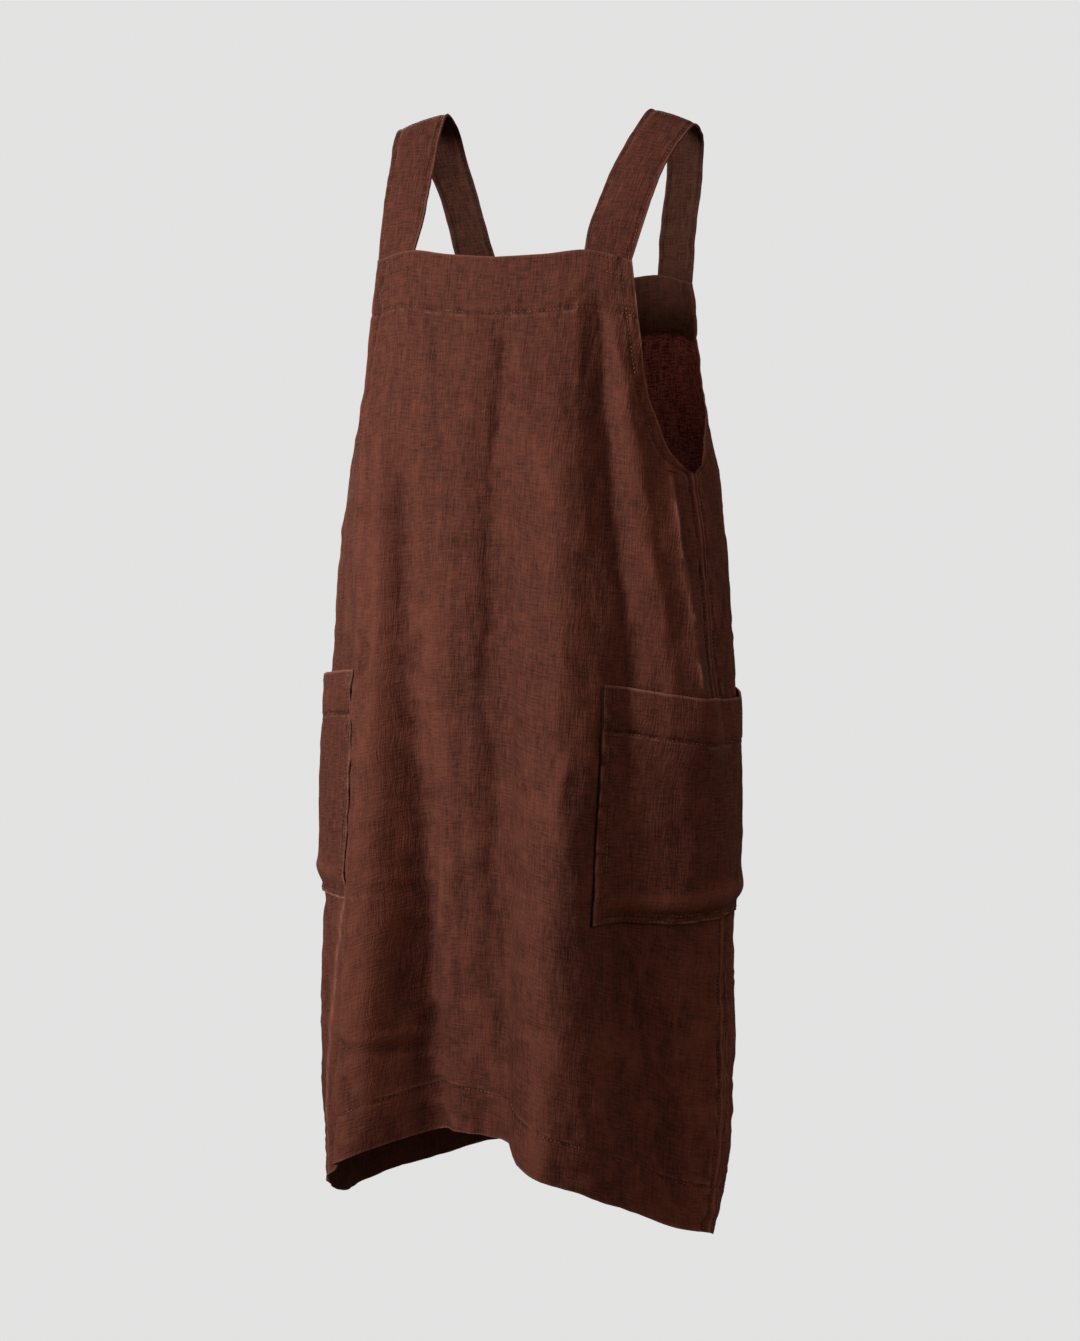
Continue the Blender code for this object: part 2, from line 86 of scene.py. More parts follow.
# drop, angle, height (out is positive), width before and after the crest in degrees
FOLDS = (
    # the front's turned edge on the wearer's right, from the armhole to the hem
    ((190, -44, 0, 7, 7), (300, -47.5, 3.5, 7, 7.5), (384, -41, 6, 6.5, 7.5), (470, -36, 9, 6.5, 8),
     (594, -31, 15.5, 7, 9), (740, -30, 23, 8, 10.5), (876, -29.5, 25, 8, 11.5), (990, -45, 16, 8, 8)),
    # the narrow crest between the turned edge and the deep trough
    ((200, -37, 0, 5, 5), (300, -35.5, 5.5, 5.5, 5), (380, -32, 5, 6, 5), (460, -28.5, 6, 5.5, 5),
     (540, -25.5, 10.5, 6, 5), (640, -23.5, 13.5, 8, 5), (740, -22.5, 18.5, 9, 5), (860, -22.5, 20, 10, 5),
     (990, -33.5, 5, 6.5, 5)),
    # the deep trough beside it, steep on both sides
    ((262, -27, 0, 5, 5.5), (300, -26.5, -3.5, 5, 5.5), (380, -23, -9.5, 5.5, 6), (466, -19.5, -12, 6, 6),
     (544, -16, -17.5, 7.5, 6.5), (628, -13.5, -22.5, 9.5, 6), (716, -14, -25.5, 9, 5.5),
     (866, -9.5, -26, 7, 5.5), (990, -13, -18, 14.5, 7)),
    # the centre trough, which ends in a steep step at the hem
    ((160, 6, 0, 5, 5), (200, 7, -4.5, 5.5, 5.5), (280, 6.5, -7, 6.5, 7), (440, 7, -7.5, 5, 7.5),
     (500, 7, -6, 5, 7.5), (570, 9.5, -7, 5.5, 6), (710, 12.5, -4.5, 8, 5), (820, 9, -2.5, 10.5, 5.5),
     (930, 10, -22, 11.5, 5)),
    # the broad crest to its left
    ((220, 25.5, 0, 8, 8.5), (330, 27, 10.5, 8.5, 8), (534, 26.5, 16.5, 8, 7.5), (706, 26, 19, 7, 8),
     (850, 25.5, 19, 7.5, 9), (990, 20.5, 8.5, 6, 10.5)),
    # the left shoulder of the broad crest, where the front turns to the side
    ((130, 30, 0, 8, 6), (180, 30.5, 2, 8, 6), (240, 32.5, 2, 8.5, 6), (320, 36.5, 5, 8.5, 6.5),
     (420, 38.5, 7.5, 8, 6), (520, 36, 9.5, 6.5, 5), (620, 30.5, 12, 5, 5), (720, 33.5, 9, 6.5, 6),
     (820, 36, 9.5, 7, 6.5), (900, 35.5, 9, 7, 6), (990, 36.5, 2, 7, 6)),
    # the trough that runs from the band to the corner of the left pocket, steep on its outer side
    ((150, 35.5, 0, 6, 4), (172, 36.5, -5.5, 6.5, 4), (240, 40, -8, 7.5, 4), (324, 42.5, -4, 8.5, 4),
     (408, 43.5, -2.5, 8.5, 4), (476, 44.5, -3.5, 9.5, 4), (540, 46, -5.5, 8.5, 5.5),
     (620, 50, -11.5, 7.5, 8.5)),
    # the crest outside that trough
    ((172, 41.5, 0, 5, 6), (240, 48, 6.5, 5.5, 7), (300, 49.5, 11, 7, 8), (366, 51.5, 12.5, 7, 8.5),
     (426, 54, 9.5, 6.5, 8), (476, 56.5, 2.5, 7, 8), (570, 61, -9.5, 9, 9)),
    # the sharp crease below the left armhole and the hollow behind it, as far as the side seam
    ((290, 61, 0, 4.5, 3), (342, 62, 5, 5.5, 3), (418, 65, 7, 4.5, 3), (505, 69.5, 5.5, 5, 3.5),
     (580, 73.5, -4.5, 6.5, 4)),
    ((412, 73, 0, 3, 3.5), (488, 78.5, -3.5, 4, 4), (580, 82.5, 0.5, 4, 4)),
    # the swell of the left side, from the armhole to below the pocket
    ((215, 62, 0, 8, 9), (300, 63.5, 7, 9.5, 10.5), (380, 65, 11.5, 10.5, 11.5), (500, 64.5, 12, 10.5, 12),
     (640, 64, 11, 10.5, 12), (740, 64, 3, 9.5, 10), (840, 63, -1.5, 9, 9.5), (920, 62.5, -3.5, 9, 9),
     (990, 62, -1.5, 9, 9)),
    # the trough below the left pocket
    ((596, 41, 0, 6, 5), (640, 41.5, 1.5, 6, 5), (700, 46, -8, 6, 6), (770, 50.5, -12.5, 7, 7.5),
     (828, 56, -12, 8, 7.5), (905, 58.5, -12.5, 8, 8), (990, 61, -11, 9, 9)),
    # the swell behind the turned edge, drawn in at the hem
    ((650, -66, 0, 11, 13), (745, -66, 4.5, 11, 13), (860, -66, 3.5, 11, 13), (925, -66, -3, 11, 13),
     (985, -66, -3, 11, 13)),
    # the tuck at the foot of the left side seam
    ((870, 100, 0, 13, 15), (935, 99, -6, 13, 15), (985, 98, -18, 14, 16)),
    # the back: two troughs and a crest on each side of the centre
    ((240, 158, 0, 8, 8), (420, 156, -5, 9, 9), (700, 154, -9, 10, 10), (990, 152, -13, 10, 10)),
    ((300, -168, 0, 8, 8), (520, -166, -4, 9, 9), (800, -163, -8, 9, 9), (990, -160, -12, 9, 9)),
    ((250, 118, 0, 7, 7), (310, 116, -3.5, 8, 8), (400, 118, -3, 8, 8), (480, 123, -5, 8, 8),
     (600, 126, -3, 8, 8), (760, 122, -7, 9, 9), (990, 118, -9, 9, 9)),
    ((300, -138, 0, 8, 8), (470, -136, -5, 8, 8), (720, -134, -6, 9, 9), (990, -128, -11, 10, 10)),
    ((380, 172, 0, 9, 9), (620, 173, 4, 10, 10), (990, 174, 8, 10, 10)),
    ((360, -112, 0, 7, 7), (520, -110, 3, 8, 8), (780, -110, 5, 9, 9), (990, -108, 7, 9, 9)),
)
FOLD_WIDTH_TO_DEPTH = 1.37   # width of the body over its depth, which sets the way a fold stands out
# finer creases with a pointed crest: half width in degrees, then drop, angle, height from point to point
CREASES = (
    # the pressed line on the turned edge
    (1.4, (244, -46.9, 0), (270, -48.8, 0.7), (330, -43.5, 0.9), (382, -40.4, 0.9), (434, -38.2, 0.9),
     (468, -36.5, 1), (594, -38.5, 1), (664, -43, 1), (688, -47.7, 1.1), (742, -49.9, 1.2), (790, -52, 1.2),
     (836, -54.2, 1.2), (886, -57, 1), (970, -58, 0.5)),
    # the crest between the turned edge and the deep trough, and the line pressed in down the trough's wall
    (1.8, (350, -32, 0), (380, -31, 1), (458, -28.3, 1.2), (500, -26.4, 1.3), (586, -23.5, 1.3),
     (674, -21.9, 1.3), (760, -22.4, 1.3), (846, -21.5, 1), (900, -21, 0)),
    (1.2, (300, -28.5, 0), (328, -27.6, -1), (380, -25.6, -1.1), (432, -23.8, -1.2), (500, -21.1, -1.3),
     (588, -17.5, -1.3), (676, -15, -1.3), (764, -15, -1.3), (870, -13.2, -1)),
    # the broken line pressed in down the centre trough, and a shorter one beside it
    (1, (170, 5.5, 0), (198, 5.3, -1.2), (240, 5.6, -1.3), (282, 4.4, -1.3), (376, 4.4, -1.4),
     (410, 5.6, -1.4), (494, 4, -1.4), (528, 6.2, -1.5), (572, 8.1, -1.5), (624, 7.7, -1.5), (666, 9, -1.5),
     (708, 11.2, -1.5), (796, 11.2, -1.3), (850, 11, 0)),
    (1.1, (420, -2, 0), (450, -1.5, -0.8), (520, -0.5, -0.9), (600, -1, -0.9), (680, 1, -0.8), (730, 1, 0)),
    # a soft narrow valley low on the bib
    (2, (150, -21, 0), (198, -18.6, -1.5), (242, -15.6, -1.5), (284, -11.6, -1.5), (312, -9, 0)),
    # the line down the trough from the band to the left pocket, and the crest outside it
    (1.3, (146, 35, 0), (156, 35.5, -1), (180, 38.1, -1.2), (240, 40.8, -1.3), (324, 41.6, -1.4),
     (366, 42.5, -1.4), (408, 43.7, -1.4), (450, 44.9, -1.4), (480, 45.5, -1)),
    (1.8, (160, 41, 0), (180, 41.5, 0.8), (240, 47.6, 1.2), (298, 50.4, 1.3), (364, 51.8, 1.3),
     (424, 54.8, 1.2), (476, 57, 1), (520, 59, 0)),
    # the slanting ridge from the left pocket's front corner, and the hollow beside it
    (2, (494, 35.3, 0), (502, 34.6, 1.3), (526, 31.1, 2.2), (564, 27.1, 2.2), (602, 24.4, 1.8),
     (650, 22.5, 0)),
    (3, (500, 30.5, 0), (534, 30.6, -2.4), (594, 30, -2.8), (662, 29.6, -2.8), (714, 30.5, -2.4),
     (790, 33, 0)),
    # the sharp crease below the left armhole, and the line pressed in behind it
    (0.8, (286, 60.2, 0), (308, 60.9, 1.6), (366, 61.6, 1.9), (408, 63, 1.9), (450, 65, 1.7),
     (490, 67.2, 1.4), (530, 69, 0)),
    (1.1, (296, 62.6, 0), (316, 63.3, -1.6), (366, 64.2, -1.9), (408, 65.7, -1.9), (450, 68, -1.8),
     (490, 71, -1.5), (540, 76, 0)),
    (1.5, (396, 94, 0), (406, 92.5, -1.1), (448, 84, -1.1), (462, 82, 0)),
    # a fan of fine creases below the left pocket
    (0.9, (684, 44.5, 0), (692, 45.6, 0.9), (720, 50.3, 1), (756, 55, 0.9), (770, 57, 0)),
    (0.9, (762, 52, 0), (774, 53.8, 1), (810, 59.3, 1.1), (854, 67.8, 0.9), (866, 70, 0)),
    (0.9, (700, 39, 0), (714, 41, 0.7), (744, 45, 0.8), (768, 48.5, 0)),
    (1.3, (692, 46.5, 0), (702, 48.2, -0.9), (738, 51.6, -1.1), (774, 53.8, -1.1), (832, 59.8, 0)),
    # slanting pulls below the left strap
    (0.7, (136, 34, 0), (144, 31.5, -0.8), (158, 27.5, -0.9), (172, 23, -0.6), (182, 20, 0)),
    (0.7, (132, 31, 0), (140, 28.5, 0.7), (152, 25, 0.8), (164, 21, 0.5), (172, 18, 0)),
    (0.7, (168, 40, 0), (180, 37, -0.8), (200, 34.5, -0.9), (226, 33.5, 0)),
    # creases on the wearer's right and round the back
    (1.6, (330, -70, 0), (372, -73, 0.9), (440, -78, 1), (492, -80, 0)),
    (1.6, (700, -74, 0), (760, -78, 0.9), (850, -80, 1), (950, -79, 0.7)),
    (1.4, (300, 150, 0), (360, 146, 1.2), (470, 141, 1.4), (610, 138, 1.2), (700, 137, 0)),
    (1.4, (330, -152, 0), (400, -149, 1.3), (520, -146, 1.4), (650, -147, 1.1), (740, -149, 0)),
    (1.4, (210, 171, 0), (260, 169, -1.2), (340, 168, -1.3), (430, 170, 0)),
    (1.4, (200, -164, 0), (250, -166, -1.1), (330, -169, -1.3), (400, -171, 0)),
    (1.2, (560, 165, 0), (640, 163, 1.1), (780, 165, 1.3), (980, 166, 1)),
    (1.2, (620, -176, 0), (700, -175, 1.1), (840, -173, 1.3), (980, -172, 1)),
    (1.2, (700, -118, 0), (760, -121, 1), (850, -124, 1.1), (960, -122, 0.8)),
    (1.2, (700, 110, 0), (750, 107, 1), (830, 108, 1.1), (930, 111, 0.6)),
)
# small puckers: drop, angle, height, half height in mm, half width in degrees
PUCKERS = (
    (854, -6, 1.0, 14, 1.3), (850, -3, -1.0, 14, 1.3), (880, 27.6, -1.2, 16, 1.6), (864, 34.3, 1.1, 15, 1.8),
    (905, 38.8, -1.0, 14, 1.4), (908, 54.5, -0.9, 14, 1.5), (900, 63.7, 0.9, 3, 4), (893, 47, 0.8, 12, 1.2),
    (868, 16, 0.8, 14, 1.4), (886, -28, -0.8, 14, 1.3), (905, -36, 0.8, 14, 1.4), (858, -14, -0.7, 12, 1.1),
    (520, -55, -0.9, 3, 3.5), (560, -53, -0.8, 3, 3.5), (470, -57, -0.7, 3, 3), (620, -30, 0.6, 4, 4),
    (205, 39, 0.7, 16, 1.4), (196, 45, -0.7, 14, 1.2), (212, 33, -0.6, 14, 1.2), (240, 2, 0.6, 18, 2),
    (400, 13, -0.6, 30, 2), (455, -8, 0.6, 34, 2.2), (600, 2, 0.7, 40, 2.2), (660, -3, -0.7, 36, 2),
    (700, 21, 0.7, 26, 1.8), (742, 4, 0.8, 30, 1.8), (770, 15, -0.7, 26, 1.8), (812, -20, -0.7, 24, 1.6),
    (950, 150, 0.9, 14, 1.6), (948, 172, -0.9, 14, 1.5), (955, -160, 0.9, 14, 1.6),
    (958, -132, -0.8, 14, 1.6), (950, 128, -0.8, 14, 1.5), (640, 150, 0.7, 34, 2.2),
    (560, -166, -0.7, 34, 2.2), (480, 178, 0.7, 30, 2),
)
# painted highlights along the crests of two creases: drop, angle, share of the highlight
CREASE_HIGHLIGHTS = (
    ((668, -42.5, 0), (680, -43.4, 0.5), (704, -46.4, 0.5), (742, -49, 0.4), (780, -50.7, 0.4),
     (828, -53.3, 0.4), (876, -56.2, 0.45), (960, -58, 0.3)),
    ((280, 60, 0), (308, 60.9, 0.25), (366, 61.6, 0.25), (408, 63, 0.25), (450, 65, 0.25), (490, 67.2, 0.2),
     (520, 68.6, 0)),
)
CREASE_SHARE = 1.4             # all creases stand this much higher than in the table
CREASE_WANDER = (0.7, 24, 200)   # degrees that a crease's path strays, over what length, and first seed
CREASE_WAVER = (0.6, 34, 250)    # share by which its height comes and goes, over what length, first seed
# crumple: cell round the body and down it, height, share of it that is creased, seed
CRUMPLE = (
    (44, 130, 0.5, 0.2, 11), (24, 66, 0.6, 0.95, 12), (13, 34, 0.75, 0.95, 13), (40, 17, 0.5, 0.9, 14),
    (10, 13, 0.42, 0.9, 15), (17, 80, 0.6, 0.95, 16), (19, 20, 0.4, 0.95, 17),
)
# drop, share of the crumple
CRUMPLE_BY_DROP = ((110, 0.45), (180, 0.6), (300, 0.8), (560, 1.0), (900, 1.35))
# more crumple in the deep trough: drop, angle of the trough, share of it there
TROUGH_CRUMPLE = ((300, -22, 0), (420, -20, 0.4), (640, -18, 0.7), (760, -20, 1.0), (900, -22, 1.0))
TROUGH_MORE = 0.9              # share that is added where the last column is 1
TROUGH_HALF_ANGLE = 15.0
ROUND_BODY = 1080.0            # length that the crumple repeats over, one turn of the body
SEAM_SHOWN = 0.04              # what is left open of the gap at a felled side seam, too little to see through
BAND_DEPTH = 51.0
BAND_STITCH = 48.0             # stitch lines, measured in from the edges
HEM_STITCH = 40.0
ARMHOLE_STITCH = 9.0
SEAM_STITCH = 7.0
DITCH = (0.8, 1.8)             # depth and half width of the groove along a sewn line
SEWN_PUCKERS = ((11.0, 0.6), (6.0, 0.4))   # length and height of the puckers beside it
PUCKER_REACH = 8.0
TURNED_RIDGE = 0.5             # how much a turned hem stands out
ARMHOLE_RIDGE = 0.4
ARMHOLE_FADE = (4, 3)          # how far above an armhole's foot its hem turns into the seam, and how softly
FELLED_RIDGE = (1.4, 3.2)      # height and half width of the ridge down a side seam
FELLED_STRAY = (1.2, 30)       # how far the seam's inner line wavers, and over what length
FELLED_SHARE = 1.5             # its groove and puckers are this much stronger
# painted light and rubbing: share of the pale line on each edge and just in from each seam, painted highlight
# and rubbing, of the painted shade and highlight at each row of stitches, and of the painted shade along the
# seam
TOP_EDGE_HIGHLIGHT_AND_WEAR = 0.3
HEM_EDGE_HIGHLIGHT_AND_WEAR = 0.35
ARMHOLE_LIGHT_AND_WEAR = (0.5, 0.7)
SEAM_LIGHT_AND_WEAR = (0.45, 1.3, 0.8)
SEAM_HIGHLIGHT_IN = 2             # the seam's pale line, painted highlight and rubbing, lies this far in from the seam
EDGE_HIGHLIGHT_AND_WEAR = (0.8, 1.2)       # strength and half width of the pale line on a folded edge, painted highlight and rubbing
STITCH_RIDGE_HIGHLIGHT_AND_WEAR = (0.16, 2.6, 1.4)   # painted highlight and rubbing on the ridge beside a sewn line: strength, distance and half width
DITCH_SHADE = (0.5, 1.3)        # painted shade in a sewn line's ditch: strength and half width
BEADS = (0.5, 1.3, 6.0, 1.5)   # the painted marks at a sewn line come and go in beads: their middle, unevenness, length and most
CREASE_HIGHLIGHT_HALF_WIDTH = 1.8          # of a painted highlight along a crease
SEAM_BLEND = 4                 # half width of the strip at a side seam where both panels' walls point one way
# runs of grid rows: end and step, in from the top edge and the hem, closer at the stitch lines
TOP_RUNS = ((3, 1.5), (42, 3.0), (54, 1.6), (60, 3.0))
HEM_RUNS = ((3, 1.5), (34, 2.6), (46, 1.6), (52, 3.0))
SIDE_RUN = (12, 1.6)


def hermite(x, y, tangent, at):
    """Cubic pieces through points, from the values and tangents at each two, held past the outer ones."""
    row = np.clip(np.searchsorted(x, at) - 1, 0, len(x) - 2)
    span = x[row + 1] - x[row]
    t = np.clip((at - x[row]) / span, 0, 1)
    return ((1 + 2 * t) * (1 - t) ** 2 * y[row] + t * (1 - t) ** 2 * span * tangent[row]
            + t * t * (3 - 2 * t) * y[row + 1] + t * t * (t - 1) * span * tangent[row + 1])


def smooth(table, column, at):
    """A column of a table between its rows: cubic, level where the column turns, held past the ends."""
    rows = np.array(table, float)
    x, y = rows[:, 0], rows[:, column]
    slope = np.diff(y) / np.diff(x)
    before, after = slope[:-1], slope[1:]
    same_way = before * after > 0
    inner = np.where(same_way, 2 * before * after / np.where(same_way, before + after, 1.0), 0.0)
    return hermite(x, y, np.concatenate([slope[:1], inner, slope[-1:]]), at)


def ring_section(back, drop):
    """Below the armholes: a panel's half width, depth, centre line Y and edge angle, shared at the seam."""
    half_width, front_depth, back_depth, centre, seam = (
        smooth(BODY_RINGS, column, drop) for column in (1, 2, 3, 4, 5)
    )
    if not back:
        return half_width, front_depth, centre - front_depth, seam
    reach = 180 - seam
    middle = centre + back_depth
    seam_y = centre - front_depth * np.cos(np.radians(seam))
    return half_width, (middle - seam_y) / (1 - np.cos(np.radians(reach))), middle, reach


def section(panel, drop):
    """The same four columns at every drop: from the panel's rise above the armholes' feet, then the rings."""
    rings = tuple((ring[0], *ring_section(panel["back"], float(ring[0]))) for ring in BODY_RINGS[:2])
    below = ring_section(panel["back"], np.maximum(drop, ARMHOLE_DROP))
    rise = panel["rise"] + rings
    above = (smooth(rise, column, np.minimum(drop, ARMHOLE_DROP)) for column in (1, 2, 3, 4))
    return (np.where(drop < ARMHOLE_DROP, over, under) for over, under in zip(above, below))


def round_angle(panel, share, drop):
    """Degrees round the body of a place on a panel, its share of the edge angle from the panel's middle."""
    angle = tuple(section(panel, drop))[3] * share
    return np.where(share < 0, -180 - angle, 180 - angle) if panel["back"] else angle


def square_out(angle):
    """The level way that folds stand out at an angle round the body: (sin a, -k cos a, 0), made a unit."""
    turn = np.radians(angle)
    out = np.stack([np.sin(turn), -FOLD_WIDTH_TO_DEPTH * np.cos(turn), 0 * turn], -1)
    return out / np.linalg.norm(out, axis=-1, keepdims=True)


def bell(distance, half_width):
    """A bell across a line: exp(-(distance / half width)^2)."""
    return np.exp(-(distance / half_width) ** 2)


def lapped(distance, line, blur=0.8):
    """1 on the near side of a line and 0 past it: 1 / (1 + e^x), x = (distance - line) / blur, at most 60."""
    return 1 / (1 + np.exp(np.minimum((distance - line) / blur, 60)))


def half_turn(angle):
    """An angle in degrees brought to between -180 and 180."""
    return (angle + 180) % 360 - 180


def fold_height(angle, drop):
    """Sum of the folds: each is a bell across its own path, with its own width on each side."""
    height = np.zeros(np.broadcast(angle, drop).shape)
    for path in FOLDS:
        across = half_turn(angle - smooth(path, 1, drop))
        width = np.where(across < 0, smooth(path, 3, drop), smooth(path, 4, drop))
        height = height + smooth(path, 2, drop) * bell(across, width)
    return height


def fine_height(angle, drop):
    """Sum of the pointed creases, 1 / (1 + (across / width)^2) each, whose paths wander and whose heights
    waver a little, of the small puckers, bells both ways, and of the crumple, stronger low down and in the
    deep trough."""
    height = np.zeros(np.broadcast(angle, drop).shape)
    for number, (half_angle, *path) in enumerate(CREASES):
        wander, waver = (
            most * uneven(drop, cell, seed + number) for most, cell, seed in (CREASE_WANDER, CREASE_WAVER)
        )
        across = half_turn(angle - smooth(path, 1, drop) - wander) / half_angle
        share = CREASE_SHARE * (1 + waver)
        height = height + share * smooth(path, 2, drop) / (1 + across ** 2)
    for at_drop, at_angle, tall, half_drop, half_angle in PUCKERS:
        across = bell(half_turn(angle - at_angle), half_angle)
        height = height + tall * across * bell(drop - at_drop, half_drop)
    from_trough = angle - smooth(TROUGH_CRUMPLE, 1, drop)
    in_trough = smooth(TROUGH_CRUMPLE, 2, drop) * bell(from_trough, TROUGH_HALF_ANGLE)
    strength = smooth(CRUMPLE_BY_DROP, 1, drop) * (1 + TROUGH_MORE * in_trough)
    return height + strength * crumple(angle * ROUND_BODY / 360, drop, CRUMPLE)


def lattice(u, v, cell_u, cell_v, seed):
    """Random values from -1 to 1 on a lattice of cells, joined by smooth steps. u repeats round the body."""
    around, down = max(4, round(ROUND_BODY / cell_u)), 128
    values = np.random.default_rng(seed).uniform(-1, 1, (around, down))
    x, y = np.broadcast_arrays(u / ROUND_BODY * around, v / cell_v)
    i, j = np.floor(x).astype(int), np.floor(y).astype(int)
    s, t = x - i, y - j
    s, t = s * s * (3 - 2 * s), t * t * (3 - 2 * t)
    left, right = i % around, (i + 1) % around
    above, under = j % down, (j + 1) % down
    return ((values[left, above] * (1 - s) + values[right, above] * s) * (1 - t)
            + (values[left, under] * (1 - s) + values[right, under] * s) * t)


def uneven(along, cell, seed):
    """Random values from -1 to 1 at even steps along a line, joined by smooth steps."""
    return lattice(along, 0 * along, cell, cell, seed)


def crumple(u, v, layers):
    """Sum of lattices, each a mix of its value and of a creased one, 1 - 2 |value|, which is sharp where the
    value passes zero. Each layer's cells lean by up to half a cell, so that no row shows."""
    total, blunt = 0.0, 0.006
    for cell_u, cell_v, tall, creased, seed in layers:
        lean = 0.5 * cell_u * lattice(u, v, 3 * cell_u, 2 * cell_v, seed + 100)
        value = lattice(u + lean, v + lean * cell_v / cell_u, cell_u, cell_v, seed)
        total = total + tall * ((1 - creased) * value + creased * (1 - 2 * np.sqrt(value ** 2 + blunt)))
    return total


def panel_point(panel, share, drop, folded=1.0, fine=1.0, raised=0.0):
    """A point of a panel's outer face: x = a sin t, y = m -+ d (1 - cos t), moved out by the given shares of
    the folds and the fine form, and by what is raised."""
    half_width, depth, middle, edge_angle = section(panel, drop)
    turn = np.radians(edge_angle) * share
    inward = -1 if panel["back"] else 1
    x = half_width * np.sin(turn)
    level = np.stack([x, middle + inward * depth * (1 - np.cos(turn)), -drop + 0 * x], -1)
    angle = round_angle(panel, share, drop)
    height = folded * fold_height(angle, drop) + fine * fine_height(angle, drop) + raised
    return level + height[..., None] * square_out(angle)


def from_side(panel, share, drop):
    """Distance along the cloth from a panel's side edge, from the oval's arc length there."""
    half_width, depth, _, edge_angle = section(panel, drop)
    edge = np.radians(edge_angle)
    return (1 - np.abs(share)) * edge * np.hypot(half_width * np.cos(edge), depth * np.sin(edge))


def stitched(distance, line, along, seed):
    """A sewn line: a groove along it, and puckers that die away on both sides of it."""
    off = distance - line
    puckers = sum(tall * uneven(along, cell, seed + k) for k, (cell, tall) in enumerate(SEWN_PUCKERS))
    return puckers * bell(off, PUCKER_REACH) - DITCH[0] * bell(off, DITCH[1])


def sewn_shade_and_highlight(distance, line, along, seed):
    """Painted light at a sewn line, in uneven beads: painted shade in its ditch, and a painted highlight,
    with some rubbing, on the ridge beside it.
    """
    off = distance - line
    middle, unevenness, cell, most = BEADS
    beads = np.clip(middle + unevenness * uneven(along, cell, seed), 0, most)
    ridge = STITCH_RIDGE_HIGHLIGHT_AND_WEAR[0] * bell(off - STITCH_RIDGE_HIGHLIGHT_AND_WEAR[1], STITCH_RIDGE_HIGHLIGHT_AND_WEAR[2])
    return beads * (ridge - DITCH_SHADE[0] * bell(off, DITCH_SHADE[1]))


def painted_edge_line(distance):
    """A pale line over the outermost millimetre of a folded edge, as painted highlight and rubbing. Taken
    away at a side seam, it paints shade there instead.
    """
    return EDGE_HIGHLIGHT_AND_WEAR[0] * bell(distance, EDGE_HIGHLIGHT_AND_WEAR[1])


def edge_distances(panel, share, drop):
    """Of a place on a panel: its length round the body, its distances from the top edge, the hem and the side
    edge, and 1 below the armholes, 0 beside them."""
    along = share * ROUND_BODY / 4 + (ROUND_BODY / 2 if panel["back"] else 0)
    from_top = drop - smooth(panel["top"], 1, np.abs(share))
    from_hem = smooth(panel["hem"], 1, share) - drop
    below = lapped(ARMHOLE_DROP - drop, *ARMHOLE_FADE)
    return along, from_top, from_hem, from_side(panel, share, drop), below


def panel_light_and_wear(panel, share, drop):
    """Painted light and rubbing on a panel, from -1 (painted shade) to 1 (paler): pale lines on its edges as
    painted highlight and rubbing, painted shade and highlight at its stitch lines and side seams, and, on
    the front, painted highlights along two creases."""
    along, from_top, from_hem, side, below = edge_distances(panel, share, drop)
    painted_light_and_wear = TOP_EDGE_HIGHLIGHT_AND_WEAR * painted_edge_line(from_top) + HEM_EDGE_HIGHLIGHT_AND_WEAR * painted_edge_line(from_hem)
    painted_light_and_wear = painted_light_and_wear + sewn_shade_and_highlight(from_top, BAND_STITCH, along, seed=33)
    painted_light_and_wear = painted_light_and_wear + sewn_shade_and_highlight(from_hem, HEM_STITCH, along, seed=43)
    armhole = ARMHOLE_LIGHT_AND_WEAR[0] * painted_edge_line(side)
    armhole = armhole + ARMHOLE_LIGHT_AND_WEAR[1] * sewn_shade_and_highlight(side, ARMHOLE_STITCH, drop + along, seed=53)
    # at a side seam: a pale line just in from it, painted highlight and rubbing, and painted shade along the
    # seam itself
    seam = SEAM_LIGHT_AND_WEAR[0] * painted_edge_line(side - SEAM_HIGHLIGHT_IN) - SEAM_LIGHT_AND_WEAR[2] * painted_edge_line(side)
    seam = seam + SEAM_LIGHT_AND_WEAR[1] * sewn_shade_and_highlight(side, SEAM_STITCH, drop, seed=63)
    painted_light_and_wear = painted_light_and_wear + (1 - below) * armhole + below * seam
    if panel["back"]:
        return painted_light_and_wear
    angle = round_angle(panel, share, drop)
    # painted highlights along two crease crests
    for path in CREASE_HIGHLIGHTS:
        off = (angle - smooth(path, 1, drop)) * ROUND_BODY / 360
        painted_light_and_wear = painted_light_and_wear + smooth(path, 2, drop) * bell(off, CREASE_HIGHLIGHT_HALF_WIDTH)
    return painted_light_and_wear


def sewn_height(panel, share, drop):
    """Turned hems, one more cloth thick inside their stitch lines, and a felled ridge down each side seam,
    whose outline wavers by about a millimetre."""
    along, from_top, from_hem, side, below = edge_distances(panel, share, drop)
    height = stitched(from_top, BAND_STITCH, along, seed=31) + stitched(from_hem, HEM_STITCH, along, seed=41)
    height = height + TURNED_RIDGE * lapped(from_hem, HEM_STITCH)
    armhole = stitched(side, ARMHOLE_STITCH, drop + along, seed=51)
    armhole = armhole + ARMHOLE_RIDGE * lapped(side, ARMHOLE_STITCH)
    waver = side - FELLED_STRAY[0] * uneven(drop, FELLED_STRAY[1], seed=65)
    seam = FELLED_RIDGE[0] * bell(side, FELLED_RIDGE[1])
    seam = seam + FELLED_SHARE * stitched(waver, SEAM_STITCH, drop, seed=61)
    return height + (1 - below) * armhole + below * seam


def spaced(stops):
    """Offsets made of runs: each stop is (end, step), and the steps of a run are evened to reach its end."""
    offsets, start = [0.0], 0.0
    for end, step in stops:
        count = max(1, round((end - start) / step))
        offsets += list(start + (end - start) * np.arange(1, count + 1) / count)
        start = end
    return np.array(offsets)


